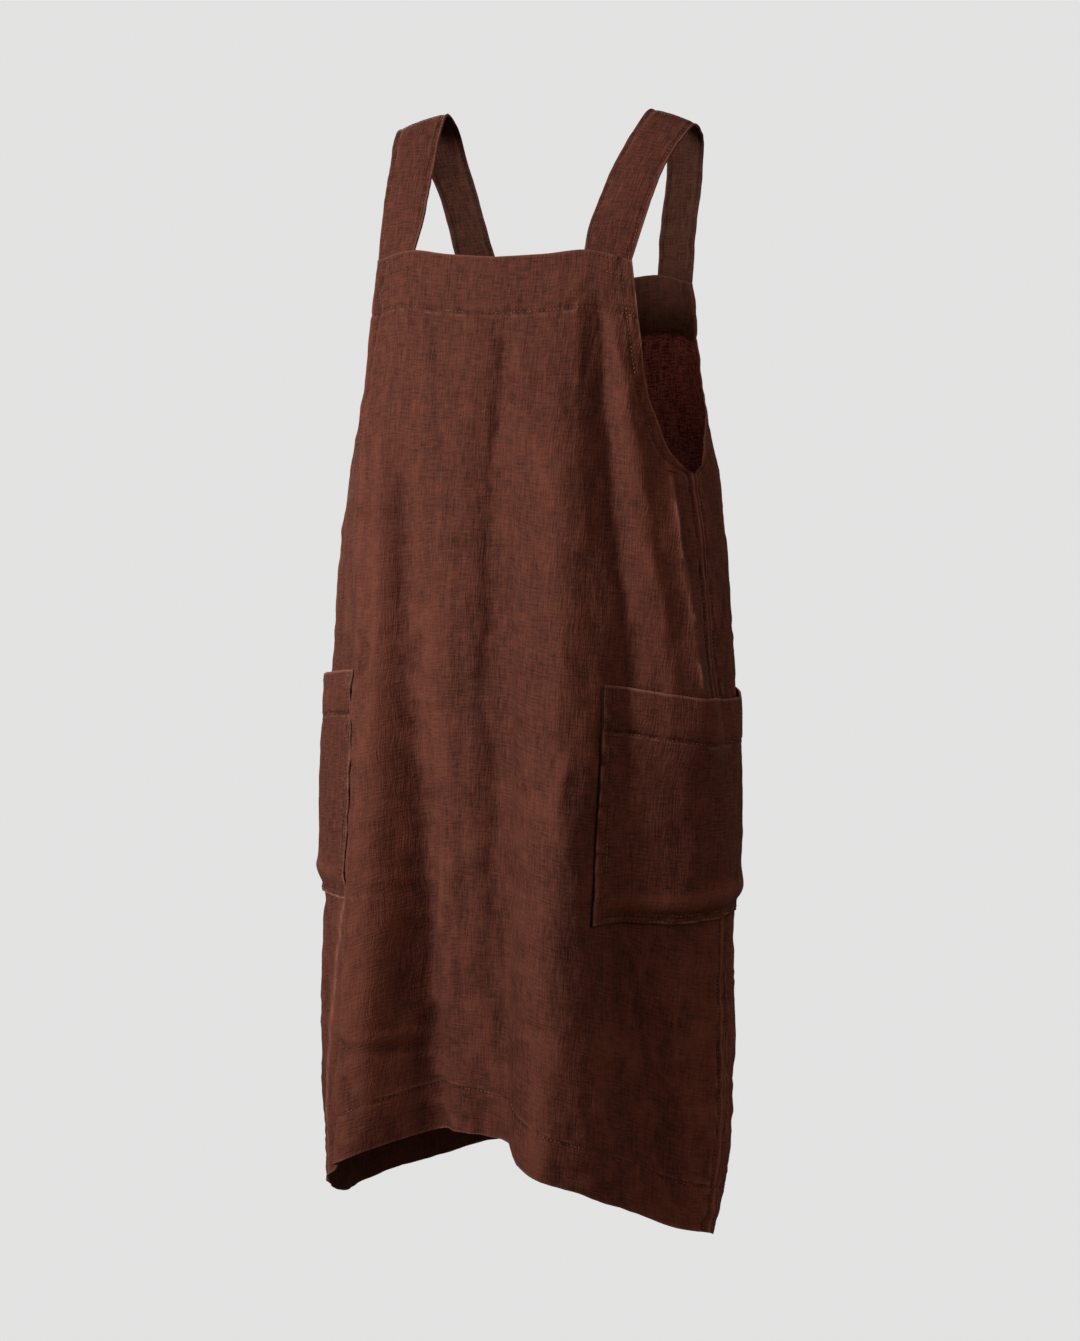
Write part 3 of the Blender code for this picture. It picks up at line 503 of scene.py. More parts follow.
def panel_grid(panel):
    """Shares and drops of a panel's grid, with closer rows and columns at its stitch lines and edges."""
    half_arc, step = panel["half_arc"], panel["step"]
    edge = spaced((SIDE_RUN, (half_arc, step)))
    half = 1 - edge / half_arc
    half[0] = 1 - SEAM_SHOWN / 2 / half_arc
    share = np.concatenate([-half, half[-2::-1]])
    head, foot = spaced(TOP_RUNS), spaced(HEM_RUNS)
    upper = smooth(panel["top"], 1, np.abs(share)) + head[:, None]
    lower = smooth(panel["hem"], 1, share) - foot[::-1, None]
    count = round(float(np.mean(lower[0] - upper[-1])) / step)
    between = np.linspace(0, 1, count + 1)[1:-1, None]
    drops = np.vstack([upper, upper[-1] + (lower[0] - upper[-1]) * between, lower])
    return np.broadcast_to(share, drops.shape), drops


def normals(grid):
    """Unit normals of a grid of points: rows run down and columns to +X, seen from in front."""
    along = np.gradient(grid, axis=1)
    down = np.gradient(grid, axis=0)
    normal = np.cross(down, along)
    return normal / np.linalg.norm(normal, axis=-1, keepdims=True)


def add_mesh(name, points, faces, materials):
    """A smooth piece made from lists of points and faces, linked to the scene."""
    mesh = bpy.data.meshes.new(name)
    mesh.from_pydata(points, [], faces)
    mesh.shade_smooth()
    for material in materials:
        mesh.materials.append(material)
    piece = bpy.data.objects.new(name, mesh)
    bpy.context.scene.collection.objects.link(piece)
    return piece


def cloth_shell(name, outer, inner, relief, painted_light_and_wear, materials):
    """A closed shell of cloth between two grids, with a rim round its edges. A second material covers the
    inner side, and a third, a darker copy of the linen that paints shade, the turned hem there. The UV map is
    in metres of cloth from the middle column and down from the top row. The attribute "relief" is the fine
    height in millimetres, and the second attribute runs from -1, painted shade, to 1, painted highlight and
    rubbing."""
    rows, columns = outer.shape[:2]
    index = np.arange(rows * columns).reshape(rows, columns)
    under = index + rows * columns
    quads = np.stack([index[:-1, :-1], index[1:, :-1], index[1:, 1:], index[:-1, 1:]], -1).reshape(-1, 4)
    faces = [quads, quads[:, (0, 3, 2, 1)] + rows * columns]
    for edge, edge_under in (
        (index[0], under[0]),
        (index[:, -1], under[:, -1]),
        (index[-1, ::-1], under[-1, ::-1]),
        (index[::-1, 0], under[::-1, 0]),
    ):
        faces.append(np.stack([edge[:-1], edge[1:], edge_under[1:], edge_under[:-1]], -1))
    faces = np.concatenate(faces)
    points = np.concatenate([outer.reshape(-1, 3), inner.reshape(-1, 3)]) * MM
    piece = add_mesh(name, points.tolist(), faces.tolist(), materials)
    mesh = piece.data
    across = np.linalg.norm(np.diff(outer, axis=1), axis=-1)
    u = np.pad(np.cumsum(across, axis=1), ((0, 0), (1, 0)))
    u = u - u[:, columns // 2, None]
    down = np.linalg.norm(np.diff(outer[:, columns // 2], axis=0), axis=-1)
    v = -np.pad(np.cumsum(down), (1, 0))[:, None] + 0 * u
    uv = np.tile(np.stack([u, v], -1).reshape(-1, 2), (2, 1)) * MM
    corner = np.empty(len(mesh.loops), np.int32)
    mesh.loops.foreach_get("vertex_index", corner)
    mesh.uv_layers.new(name="cloth").data.foreach_set("uv", uv[corner].ravel())
    for attribute, values in (("relief", relief), ("painted_light_and_wear", painted_light_and_wear)):
        mesh.attributes.new(attribute, "FLOAT", "POINT").data.foreach_set("value", np.tile(values.ravel(), 2))
    mesh.set_sharp_from_angle(angle=np.radians(60))
    if len(materials) > 1:
        inside = np.zeros(len(faces), np.int32)
        inside[len(quads):2 * len(quads)] = 1
        if len(materials) > 2:
            hem_rows = int(np.sum(spaced(HEM_RUNS)[1:] < HEM_STITCH + 1))
            inside[2 * len(quads) - hem_rows * (columns - 1):2 * len(quads)] = 2
        mesh.polygons.foreach_set("material_index", inside)
    return piece


def linear(colour):
    """An sRGB hex colour as linear RGBA: each channel by the sRGB curve."""
    channels = np.array([int(colour[k:k + 2], 16) for k in (1, 3, 5)]) / 255
    channels = np.where(channels <= 0.04045, channels / 12.92, ((channels + 0.055) / 1.055) ** 2.4)
    return (*(float(c) for c in channels), 1.0)


def add_node(tree, kind, settings=None, **links):
    """Adds a shader node, sets its properties and inputs, and links sockets given by input name or number."""
    node = tree.nodes.new("ShaderNode" + kind)
    for key, value in (settings or {}).items():
        if isinstance(key, int) or key in node.inputs:
            node.inputs[key].default_value = value
        else:
            setattr(node, key, value)
    for key, socket in links.items():
        place = int(key[1:]) if key[0] == "_" else key.replace("_", " ")
        tree.links.new(socket, node.inputs[place])
    return node


def new_material(name, settings):
    """A material with the given inputs of its shader set, its node tree and that shader."""
    material = bpy.data.materials.new(name)
    material.use_nodes = True
    shader = material.node_tree.nodes["Principled BSDF"]
    for socket, value in settings.items():
        shader.inputs[socket].default_value = value
    return material, material.node_tree, shader


def washed_linen(name, dark, light, ridge, pale, open_weave=0.0):
    """Plain-woven linen, piece-dyed and washed. The eye sees matt cloth with slubs: warp and weft threads
    that swell and thin, so it is streaked both ways, with short lines pressed in by washing. Its colour also
    carries painted light: darker in the hollows of the fine relief and lighter on its crests, as painted
    shade and highlight; lighter and redder on the highest creases, as painted highlight and in part from
    washing; paler on edges, seams and two crease crests, as painted highlight and rubbing; and darker in
    the stitches' ditches, along the side seams and at the left pocket's edge, as painted shade. Real
    threads are about 0.5 mm apart, too fine to show, so they are drawn three times as coarse. An open
    weave shows them more."""
    material, tree, shader = new_material(name, {
        "Roughness": 0.85, "Specular IOR Level": 0.09,
        "Sheen Weight": 0.02, "Sheen Roughness": 0.5, "Sheen Tint": linear("#b07a66"),
    })
    cloth_place = add_node(tree, "UVMap", {"uv_map": "cloth"}).outputs["UV"]
    relief = add_node(tree, "Attribute", {"attribute_name": "relief"}).outputs["Fac"]
    tone, slubs = None, []
    # streaks: length across and along the cloth in mm, weight, and whether an open weave shows them more
    for across, along, weight, opened in (
        (1.4, 14.0, 0.75, 1), (12.0, 1.4, 0.70, 1), (3.0, 50.0, 0.25, 0),
        (50.0, 3.0, 0.20, 0), (7.0, 16.0, 0.25, 0), (1.5, 1.5, 0.50, 1),
    ):
        scale = add_node(tree, "Mapping", {"Scale": (1000 / across, 1000 / along, 1)}, Vector=cloth_place)
        noise = add_node(tree, "TexNoise", {"noise_dimensions": "2D", "Scale": 1.0, "Detail": 0.7},
                         Vector=scale.outputs["Vector"])
        slubs.append(noise.outputs["Fac"])
        level = add_node(tree, "Math", {"operation": "SUBTRACT", 1: 0.5}, _0=slubs[-1])
        term = add_node(tree, "Math", {"operation": "MULTIPLY_ADD", 1: weight + opened * open_weave, 2: 0.5},
                        _0=level.outputs[0])
        if tone is not None:
            tree.links.new(tone, term.inputs[2])
        tone = term.outputs[0]
    # painted shade and highlight: the tone is darker where the fine relief dips and lighter where it rises
    raised = add_node(tree, "Math", {"operation": "MULTIPLY_ADD", 1: 0.05}, _0=relief, _2=tone)
    ramp = add_node(tree, "ValToRGB", _0=raised.outputs[0])
    for stop, position, shade in ((0, 0.10, dark), (1, 0.90, light)):
        ramp.color_ramp.elements[stop].position = position
        ramp.color_ramp.elements[stop].color = linear(shade)
    # lighter and redder on the highest creases: painted highlight, and in part paler from washing
    highlit_and_rubbed = add_node(tree, "MapRange", {"From Min": 0.5, "From Max": 2.4, "To Max": 0.22}, Value=relief)
    colour = add_node(tree, "Mix", {"data_type": "RGBA", 7: linear(ridge)}, _0=highlit_and_rubbed.outputs[0],
                      _6=ramp.outputs["Color"])
    # the second attribute mixes in the pale colour towards 1, painted highlight and rubbing, and the
    # near-black #1c0d09 towards -1, painted shade in ditches, seams and the gap at a pocket's edge
    painted_light_and_wear = add_node(tree, "Attribute", {"attribute_name": "painted_light_and_wear"}).outputs["Fac"]
    for far, light_and_wear_colour in ((1.0, pale), (-1.0, "#1c0d09")):
        light_and_wear_share = add_node(tree, "MapRange", {"From Min": 0.0, "From Max": far}, Value=painted_light_and_wear)
        colour = add_node(tree, "Mix", {"data_type": "RGBA", 7: linear(light_and_wear_colour)},
                          _0=light_and_wear_share.outputs[0], _6=colour.outputs[2])
    tree.links.new(colour.outputs[2], shader.inputs["Base Color"])
    threads = add_node(tree, "Math", {"operation": "ADD"}, _0=slubs[0], _1=slubs[1])
    grain = add_node(tree, "Math", {"operation": "MULTIPLY_ADD", 1: 1.2}, _0=slubs[4],
                     _2=threads.outputs[0])
    # pressed-in lines, where a warped noise passes its middle: spacing across and along in mm, depth
    for across, along, deep in ((13, 34, -0.7), (34, 12, -0.5)):
        scale = add_node(tree, "Mapping", {"Scale": (1000 / across, 1000 / along, 1)}, Vector=cloth_place)
        warped = {"noise_dimensions": "2D", "Scale": 1.0, "Detail": 2.0, "Distortion": 0.7}
        noise = add_node(tree, "TexNoise", warped, Vector=scale.outputs["Vector"])
        level = add_node(tree, "Math", {"operation": "SUBTRACT", 1: 0.5}, _0=noise.outputs["Fac"])
        away = add_node(tree, "Math", {"operation": "ABSOLUTE"}, _0=level.outputs[0])
        line = add_node(tree, "MapRange", {"From Min": 0.0, "From Max": 0.07, "To Min": deep, "To Max": 0.0},
                        Value=away.outputs[0])
        grain = add_node(tree, "Math", {"operation": "MULTIPLY_ADD"}, _0=line.outputs[0], _1=slubs[4],
                         _2=grain.outputs[0])
    bump = add_node(tree, "Bump", {"Strength": 0.6, "Distance": 0.0007 + 0.001 * open_weave},
                    Height=grain.outputs[0])
    tree.links.new(bump.outputs["Normal"], shader.inputs["Normal"])
    return material


# colours: the streaked tone's dark and light ends, the ridge colour for the highest creases, painted
# highlight and in part washing, and the pale colour, painted highlight and rubbing
linen = washed_linen("washed linen, red-brown", "#38201a", "#62362a", "#7b4739", "#9f7061")
# a darker copy of the linen that paints shade on the turned hems inside, the band facings and the straps'
# undersides
linen_shade_copy = washed_linen("washed linen, darker copy that paints shade", "#2d1b14", "#4d2c20", "#5c3527", "#785045")
# the inner side: pinker and more open in weave, with its colours lightened as painted light where little
# light reaches in
linen_inside_lightened = washed_linen("washed linen, inner side, lightened as painted light", "#3e1b17", "#874a42", "#a4716d", "#976959",
                            open_weave=0.7)


def panel_face(panel):
    """A panel's outer grid, the directions in which its cloth is thick, its fine height and its painted light
    and rubbing. At a side seam that direction is the body's own, so that both panels' walls meet."""
    share, drop = panel_grid(panel)
    raised = sewn_height(panel, share, drop)
    face = panel_point(panel, share, drop, raised=raised)
    angle = round_angle(panel, share, drop)
    near = bell(from_side(panel, share, drop), SEAM_BLEND)[..., None]
    out = (-1 if panel["back"] else 1) * normals(face) * (1 - near) + square_out(angle) * near
    out /= np.linalg.norm(out, axis=-1, keepdims=True)
    return face, out, fine_height(angle, drop) + raised, panel_light_and_wear(panel, share, drop)


def make_layer(name, face, out, relief, painted_light_and_wear, depth, thickness, materials, mirrored=False):
    """A wall of cloth that follows a face, its outer side the given depth inside it. A grid whose columns
    run to the left, as its outer side is looked at, is mirrored first."""
    outer = face - depth * out
    grids = (outer, outer - thickness * out, relief, painted_light_and_wear)
    if mirrored:
        grids = (grid[:, ::-1] for grid in grids)
    return cloth_shell(name, *grids, materials)


front_face = panel_face(FRONT)
front = make_layer("front_cloth", *front_face, 0.0, CLOTH, (linen, linen_inside_lightened, linen_shade_copy))
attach(front, "root")
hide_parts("front")


# ======== Back ========
# One panel of the same linen, wider than the front and longer at its hem. It is felled to the front down both
# sides, below the armholes, and its band stands as high as the shoulder blades.

# drop, half width and depth of the level section's oval, Y of the centre line, angle at the armhole's edge
BACK_RISE = (
    (130, 205, 64, 75, 34),
    (142, 195, 73, 76, 36),
    (171, 162, 86, 80.5, 49.0),
    (200, 153, 97.5, 84, 57.7),
    (231, 154, 110, 86.8, 66.7),
    (257, 158, 114.5, 88.7, 80.7),
    (276, 162.5, 116.5, 89.8, 91.0),
    (291, 166.6, 117.7, 90.5, 96.2),
    (299, 169.0, 118.2, 90.85, 99.6),
)
# share, drop
BACK_TOP = ((0.0, 139.0), (0.35, 138.0), (0.65, 134.5), (1.0, 142.0))
BACK_HEM = (
    (-1.0, 968), (-0.9, 982), (-0.8, 987), (-0.7, 983.5), (-0.6, 974.5), (-0.5, 967), (-0.4, 962.5),
    (-0.3, 953), (-0.15, 943), (0.0, 941), (0.3, 954), (0.5, 968), (0.65, 976), (0.8, 980), (0.9, 976),
    (1.0, 968),
)
BACK = dict(rise=BACK_RISE, back=True, top=BACK_TOP, hem=BACK_HEM, half_arc=260.0, step=3.4)
back_face = panel_face(BACK)
back = make_layer("back_cloth", *back_face, 0.0, CLOTH, (linen, linen_inside_lightened, linen_shade_copy), mirrored=True)
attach(back, "root")
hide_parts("back")


# ======== Bands ========
# A straight facing of the same linen, in its darker copy as painted shade, turned down inside each top
# edge and stitched through along its lower edge, so that the straps are caught between two cloths.
FACING_CLOTH = 1.0
rows = slice(0, int(np.sum(spaced(TOP_RUNS) < BAND_DEPTH + 1)))
for name, grids in (("front_band", front_face), ("back_band", back_face)):
    band = make_layer(f"{name}_cloth", *(grid[rows] for grid in grids), CLOTH + SEAM_GAP, FACING_CLOTH,
                      (linen_shade_copy,), mirrored=grids is back_face)
    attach(band, "root")
    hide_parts(name)


# ======== Straps ========
# Each strap is linen folded double, about 45 mm wide, edge-stitched down both sides, and coloured darker on
# its underside as painted shade. It is sewn in between the front and its facing, goes over the shoulder,
# and is sewn in at the back.
STRAP_CLOTH = 2.0
STRAP_WIDTH = 44.0
STRAP_CROWN = 1.2
STRAP_AT_BIB = (0.635, 1.0)    # where a strap is sewn to the front's top edge, as shares of the half width
STRAP_AT_BACK = (0.665, 1.0)
STRAP_STITCH = 3.5             # edge stitching, in from each edge
STRAP_LIGHT_AND_WEAR = (0.25, 0.6)       # share of the pale line on its edges, painted highlight and rubbing, and of the painted shade and highlight at their stitches
STRAP_EASE = 12.0              # length over which the crumple dies away at a sewn end
SIDE_SHIFT = 300               # the crumple is taken this far to either side, so that left and right differ
STRAP_CRUMPLE = ((30, 46, 0.7, 0.3, 71), (14, 24, 0.4, 0.7, 72), (9, 30, 0.25, 0.7, 73))
# inner edge X, Y, Z and outer edge X, Y, Z, from the bib over the shoulder
STRAP_LINES = (
    (80.0, -88, -93, 124.4, -77, -94),
    (82.7, -71, -68, 127.9, -65, -69),
    (88.2, -46, -34, 132.9, -43, -37),
    (94.2, -21, -8, 139.4, -24, -17),
    (98.7, 3, 9, 143.4, -4, -5),
    (100.7, 27, -2, 142.4, 15, -13),
    (99.0, 43, -31, 135.9, 33, -36),
    (93.2, 52, -61, 128.4, 46, -63),
    (86.2, 58, -94, 121.9, 53, -95),
)


def strap_face(side, across, rows):
    """A strap's outer grid from the bib to the back: straight lines between its two edges, crowned, with the
    sewn grooves and a slight crumple, then its unit normals, fine height and painted light with rubbing.
    Lengthwise it is cubic, with each tangent taken from the stations on both sides."""
    lines = np.array(STRAP_LINES, float)
    lines[:, (0, 3)] *= side
    middle = lines[:, None, :3] * (1 - across[:, None]) + lines[:, None, 3:] * across[:, None]
    ends = []
    for panel, (near, far) in ((FRONT, STRAP_AT_BIB), (BACK, STRAP_AT_BACK)):
        share = side * (near + (far - near) * across)
        row = panel_point(panel, share, smooth(panel["top"], 1, np.abs(share)), fine=0.0)
        row[:, 2] += SEAM_GAP
        ends.append(row)
    stations = np.concatenate([ends[0][None], middle, ends[1][None]])
    step = np.linalg.norm(np.diff(stations.mean(axis=1), axis=0), axis=1)
    length = np.concatenate([[0], np.cumsum(step)])
    at = np.linspace(0, length[-1], rows + 1)
    flat = stations.reshape(len(stations), -1)
    grid = np.stack([hermite(length, y, np.gradient(y, length), at) for y in flat.T], -1)
    grid = grid.reshape(len(at), -1, 3)
    out = side * -normals(grid)
    ease = np.sin(np.pi * at / length[-1])[:, None] ** 0.5
    width = np.linalg.norm(grid[:, -1] - grid[:, 0], axis=-1)[:, None]
    from_edge = np.minimum(across, 1 - across) * width
    along = at[:, None] + 0 * from_edge
    fine = crumple(across * width + SIDE_SHIFT * side, along, STRAP_CRUMPLE)
    fine = fine + stitched(from_edge, STRAP_STITCH, along, seed=81)
    fine = fine * np.clip(np.minimum(at, length[-1] - at) / STRAP_EASE, 0, 1)[:, None]
    raised = STRAP_CROWN * ease * (4 * across * (1 - across)) + fine
    painted_light_and_wear = STRAP_LIGHT_AND_WEAR[0] * painted_edge_line(from_edge)
    painted_light_and_wear = painted_light_and_wear + STRAP_LIGHT_AND_WEAR[1] * sewn_shade_and_highlight(from_edge, STRAP_STITCH, along, seed=83)
    return grid + raised[..., None] * out, out, fine, painted_light_and_wear


def across_shares(width, edge_run, step):
    """Shares of a width from edge to edge, in even steps with a run of closer ones at each edge."""
    half = spaced((edge_run, (width / 2, step))) / width
    return np.concatenate([half, 1 - half[-2::-1]])


strap_across = across_shares(STRAP_WIDTH, edge_run=(7, 1.2), step=2.2)
strap_faces = {}
for name, side in (("strap_left", 1), ("strap_right", -1)):
    face, out, fine, painted_light_and_wear = strap_face(side, strap_across, rows=130)
    strap_faces[name] = (face, out)
    strap = make_layer(f"{name}_cloth", *(grid[::-1] for grid in (face, out, fine, painted_light_and_wear)), 0.0, STRAP_CLOTH,
                       (linen, linen_shade_copy), mirrored=side < 0)
    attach(strap, "root")
    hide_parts(name)


# ======== Patch pockets ========
# A deep pocket of the same linen lies over each side seam. Its mouth has a turned hem, and its two sides and
# foot are turned in and sewn down with two rows of stitches. The cloth between hangs loose and sags over the
# foot.
POCKET_LEFT = (37.5, 35.0, 121.0)       # front edge angle at mouth and foot, back edge angle
POCKET_RIGHT = (-38.5, -43.0, -122.0)
POCKET_MOUTH = ((0.0, 478), (0.25, 487), (0.5, 497), (0.75, 500), (1.0, 494))   # share of the width, drop
POCKET_FOOT = ((0.0, 684), (0.5, 690), (1.0, 688))
POCKET_WIDTH = 214.0
POCKET_DEPTH = 195.0
POCKET_RUNS = ((34, 2.6), (42, 1.4), (176, 2.0), (POCKET_DEPTH, 1.4))   # runs of grid rows from the mouth
POCKET_LIFT = 0.9
POCKET_BAG = 8.6
POCKET_MOUTH_BAG = 0.6
POCKET_SAG = 9                 # the higher, the lower the loose cloth hangs before it turns in to the foot
POCKET_EVENS = 0.85            # share of the body's troughs that the loose middle hangs clear of
POCKET_HEM = 38.0
POCKET_STITCHES = ((2.2, 0.7), (7.5, 0.5))     # each row, in from the edge, and its strength
POCKET_MM_PER_DEGREE = 2.55    # length of the cloth there to a degree round the body
POCKET_OVERHANG = ((3.0, 21, 9), (-1.6, 8, 4))   # over the foot: height, distance from the foot, half width
POCKET_HEM_RIPPLE = (5, 0.5)   # a softer groove below the mouth hem's stitches: distance and strength
POCKET_HIGHLIGHT_AND_WEAR = (0.6, 0.55, 1.6)   # pale lines at the mouth and at the sewn edges, painted highlight and rubbing, and how far in the one at an edge lies
POCKET_RIM = 0.7               # width of the outermost edge
# colour of the outermost edge, by side: painted shadow of the gap on the left pocket, painted highlight on
# the right one
POCKET_EDGE_SHADOW_AND_HIGHLIGHT = {1: -1.0, -1: 0.5}
POCKET_CRUMPLE = (
    (38, 70, 1.5, 0.3, 91), (20, 40, 1.0, 0.8, 92), (34, 15, 0.6, 0.8, 93), (11, 22, 0.5, 0.8, 94),
)


def body_point(angle, drop, folded, fine):
    """A point of the body by its angle round it, with the given shares of its folds and fine form."""
    seam = smooth(BODY_RINGS, 5, drop)
    in_front = np.abs(angle) <= seam
    side = np.sign(angle)
    front_part = panel_point(FRONT, angle / seam, drop, folded, fine)
    back_part = panel_point(BACK, side * (180 - np.abs(angle)) / (180 - seam), drop, folded, fine)
    return np.where(in_front[..., None], front_part, back_part)


def pocket_face(edges, across, down):
    """A pocket's outer grid, normals, fine height and painted light with rubbing: the body's points moved
    out, loose between the sewn edges by sin(pi across^0.85) (1 - down^sag), with a soft bulge of loose
    cloth that hangs over its foot."""
    at_mouth, at_foot, at_back = edges
    side = np.sign(at_mouth)
    mouth, foot = smooth(POCKET_MOUTH, 1, across), smooth(POCKET_FOOT, 1, across)
    drops = mouth + (foot - mouth) * down
    front_edge = at_mouth + (at_foot - at_mouth) * down
    angle = front_edge + (at_back - front_edge) * across
    bag = POCKET_MOUTH_BAG + (1 - POCKET_MOUTH_BAG) * down
    loose = np.sin(np.pi * across ** 0.85) * (1 - down ** POCKET_SAG) * bag
    hung = np.where(fold_height(angle, drops) > 0, 1, 1 - POCKET_EVENS * loose)
    body = body_point(angle, drops, hung, 1 - loose)
    out = side * normals(body)
    width = np.abs(at_back - at_mouth) * POCKET_MM_PER_DEGREE
    from_mouth, from_foot = (drops - mouth) + 0 * across, (foot - drops) + 0 * across
    from_edge = np.minimum(np.minimum(across, 1 - across) * width, from_foot)
    along = across * width + side * SIDE_SHIFT
    fine = loose * crumple(along, drops, POCKET_CRUMPLE) + stitched(from_mouth, POCKET_HEM, along, seed=95)
    ripple, strength = POCKET_HEM_RIPPLE
    fine = fine + strength * stitched(from_mouth, POCKET_HEM + ripple, along, seed=105)
    at_the_mouth, at_an_edge, pale_line_in = POCKET_HIGHLIGHT_AND_WEAR
    painted_light_and_wear = at_the_mouth * painted_edge_line(from_mouth) + sewn_shade_and_highlight(from_mouth, POCKET_HEM, along, seed=99)
    highlit_and_rubbed = at_an_edge * painted_edge_line(from_edge - pale_line_in)
    # the outermost edge: painted shadow of the gap on the left pocket, painted highlight on the right one
    painted_light_and_wear = painted_light_and_wear + np.where(from_edge < POCKET_RIM, POCKET_EDGE_SHADOW_AND_HIGHLIGHT[int(side)], highlit_and_rubbed)
    for line, share in POCKET_STITCHES:
        fine = fine + share * stitched(from_edge, line, drops + along, seed=97)
        painted_light_and_wear = painted_light_and_wear + share * sewn_shade_and_highlight(from_edge, line, drops + along, seed=98)
    overhang = sum(tall * bell(from_foot - middle, half) for tall, middle, half in POCKET_OVERHANG)
    fine = fine + ARMHOLE_RIDGE * lapped(from_mouth, POCKET_HEM) + np.sin(np.pi * across) ** 0.5 * overhang
    face = body + (POCKET_LIFT + CLOTH + POCKET_BAG * loose + fine)[..., None] * out
    return face, side * normals(face), fine, painted_light_and_wear


pocket_across = across_shares(POCKET_WIDTH, edge_run=(12, 1.4), step=2.8)
pocket_down = spaced(POCKET_RUNS)[:, None] / POCKET_DEPTH
pocket_faces = {}
for name, edges in (("pocket_left", POCKET_LEFT), ("pocket_right", POCKET_RIGHT)):
    face, out, fine, painted_light_and_wear = pocket_face(edges, pocket_across[None, :], pocket_down)
    pocket_faces[name] = (face, out)
    pocket = make_layer(f"{name}_cloth", face, out, fine, painted_light_and_wear, 0.0, CLOTH, (linen,), mirrored=edges[0] < 0)
    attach(pocket, "root")
    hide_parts(name)


# ======== Stitching ========
# Lockstitch in a thread a shade lighter than the cloth, along the band, the hems, the side seams, the straps
# and the pockets. Real stitches are about 3 mm long in 0.4 mm thread, drawn twice as thick so that they show.
STITCH_PITCH = 3.6
STITCH_LENGTH = 2.5
THREAD = 0.85
STITCH_RISE = 0.15
STRAP_END_ROWS = (4.0, 16.0)   # rows across a sewn-in strap end, down from the top edge


def stitch_row(points, out):
    """Stitches along a line on the cloth: spindles at even steps, half sunk, each from two rings and two
    tips."""
    step = np.linalg.norm(np.diff(points, axis=0), axis=1)
    length = np.concatenate([[0], np.cumsum(step)])
    count = max(2, int(length[-1] / STITCH_PITCH))
    at = (np.arange(count) + 0.5) * length[-1] / count
    centre, ahead, behind = (
        np.stack([np.interp(at + shift, length, column) for column in points.T], -1) for shift in (0, 1, -1)
    )
    up = np.stack([np.interp(at, length, column) for column in out.T], -1)
    along = ahead - behind
    along /= np.linalg.norm(along, axis=1, keepdims=True)
    across = np.cross(along, up)
    across /= np.linalg.norm(across, axis=1, keepdims=True)
    ring = [(0.5, 0.0), (0.0, 0.5), (-0.5, 0.0), (0.0, -0.5)]
    corners = [(-0.5, 0.0, 0.0)] + [(end, *r) for end in (-0.25, 0.25) for r in ring] + [(0.5, 0.0, 0.0)]
    place = np.array(corners) * (STITCH_LENGTH, THREAD, THREAD)
    spindle = (centre[:, None] + STITCH_RISE * up[:, None] + place[None, :, :1] * along[:, None]
               + place[None, :, 1:2] * across[:, None] + place[None, :, 2:] * up[:, None])
    return spindle.reshape(-1, 3)


SPINDLE_FACES = np.array(
    [(0, 1 + (k + 1) % 4, 1 + k) for k in range(4)] + [(9, 5 + k, 5 + (k + 1) % 4) for k in range(4)]
    + [(1 + k, 1 + (k + 1) % 4, 5 + (k + 1) % 4) for k in range(4)]
    + [(1 + k, 5 + (k + 1) % 4, 5 + k) for k in range(4)]
)


def sewing_thread(name, dark, light):
    """Spun polyester thread: a soft, slightly fuzzy line with no gloss. Its shade changes a little along a
    row."""
    material, tree, shader = new_material(name, {"Roughness": 0.8, "Specular IOR Level": 0.2})
    place = add_node(tree, "TexCoord")
    noise = add_node(tree, "TexNoise", {"Scale": 120.0, "Detail": 1.0}, Vector=place.outputs["Object"])
    ramp = add_node(tree, "ValToRGB", _0=noise.outputs["Fac"])
    ramp.color_ramp.elements[0].position, ramp.color_ramp.elements[0].color = 0.35, linear(dark)
    ramp.color_ramp.elements[1].position, ramp.color_ramp.elements[1].color = 0.65, linear(light)
    tree.links.new(ramp.outputs["Color"], shader.inputs["Base Color"])
    return material


thread = sewing_thread("spun polyester thread", "#4c281d", "#8a5644")


def sew(name, rows):
    """Joins rows of stitches into one piece."""
    points = np.concatenate([stitch_row(points, out) for points, out in rows]) * MM
    count = len(points) // 10
    faces = (SPINDLE_FACES[None] + 10 * np.arange(count)[:, None, None]).reshape(-1, 3)
    piece = add_mesh(name, points.tolist(), faces.tolist(), (thread,))
    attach(piece, "root")


def panel_line(panel, share, drop):
    """A line on a panel's outer face by its shares and drops, with directions out of the cloth."""
    points = panel_point(panel, share, drop, raised=sewn_height(panel, share, drop))
    return points, square_out(round_angle(panel, share, drop))


def side_share(panel, drop, inset):
    """The share of a point that lies a given distance in from a panel's side edge."""
    return 1 - inset / from_side(panel, 0.0, drop)


def nearest(offsets, at):
    """The number of the offset that lies nearest to a place."""
    return int(np.argmin(np.abs(offsets - at)))


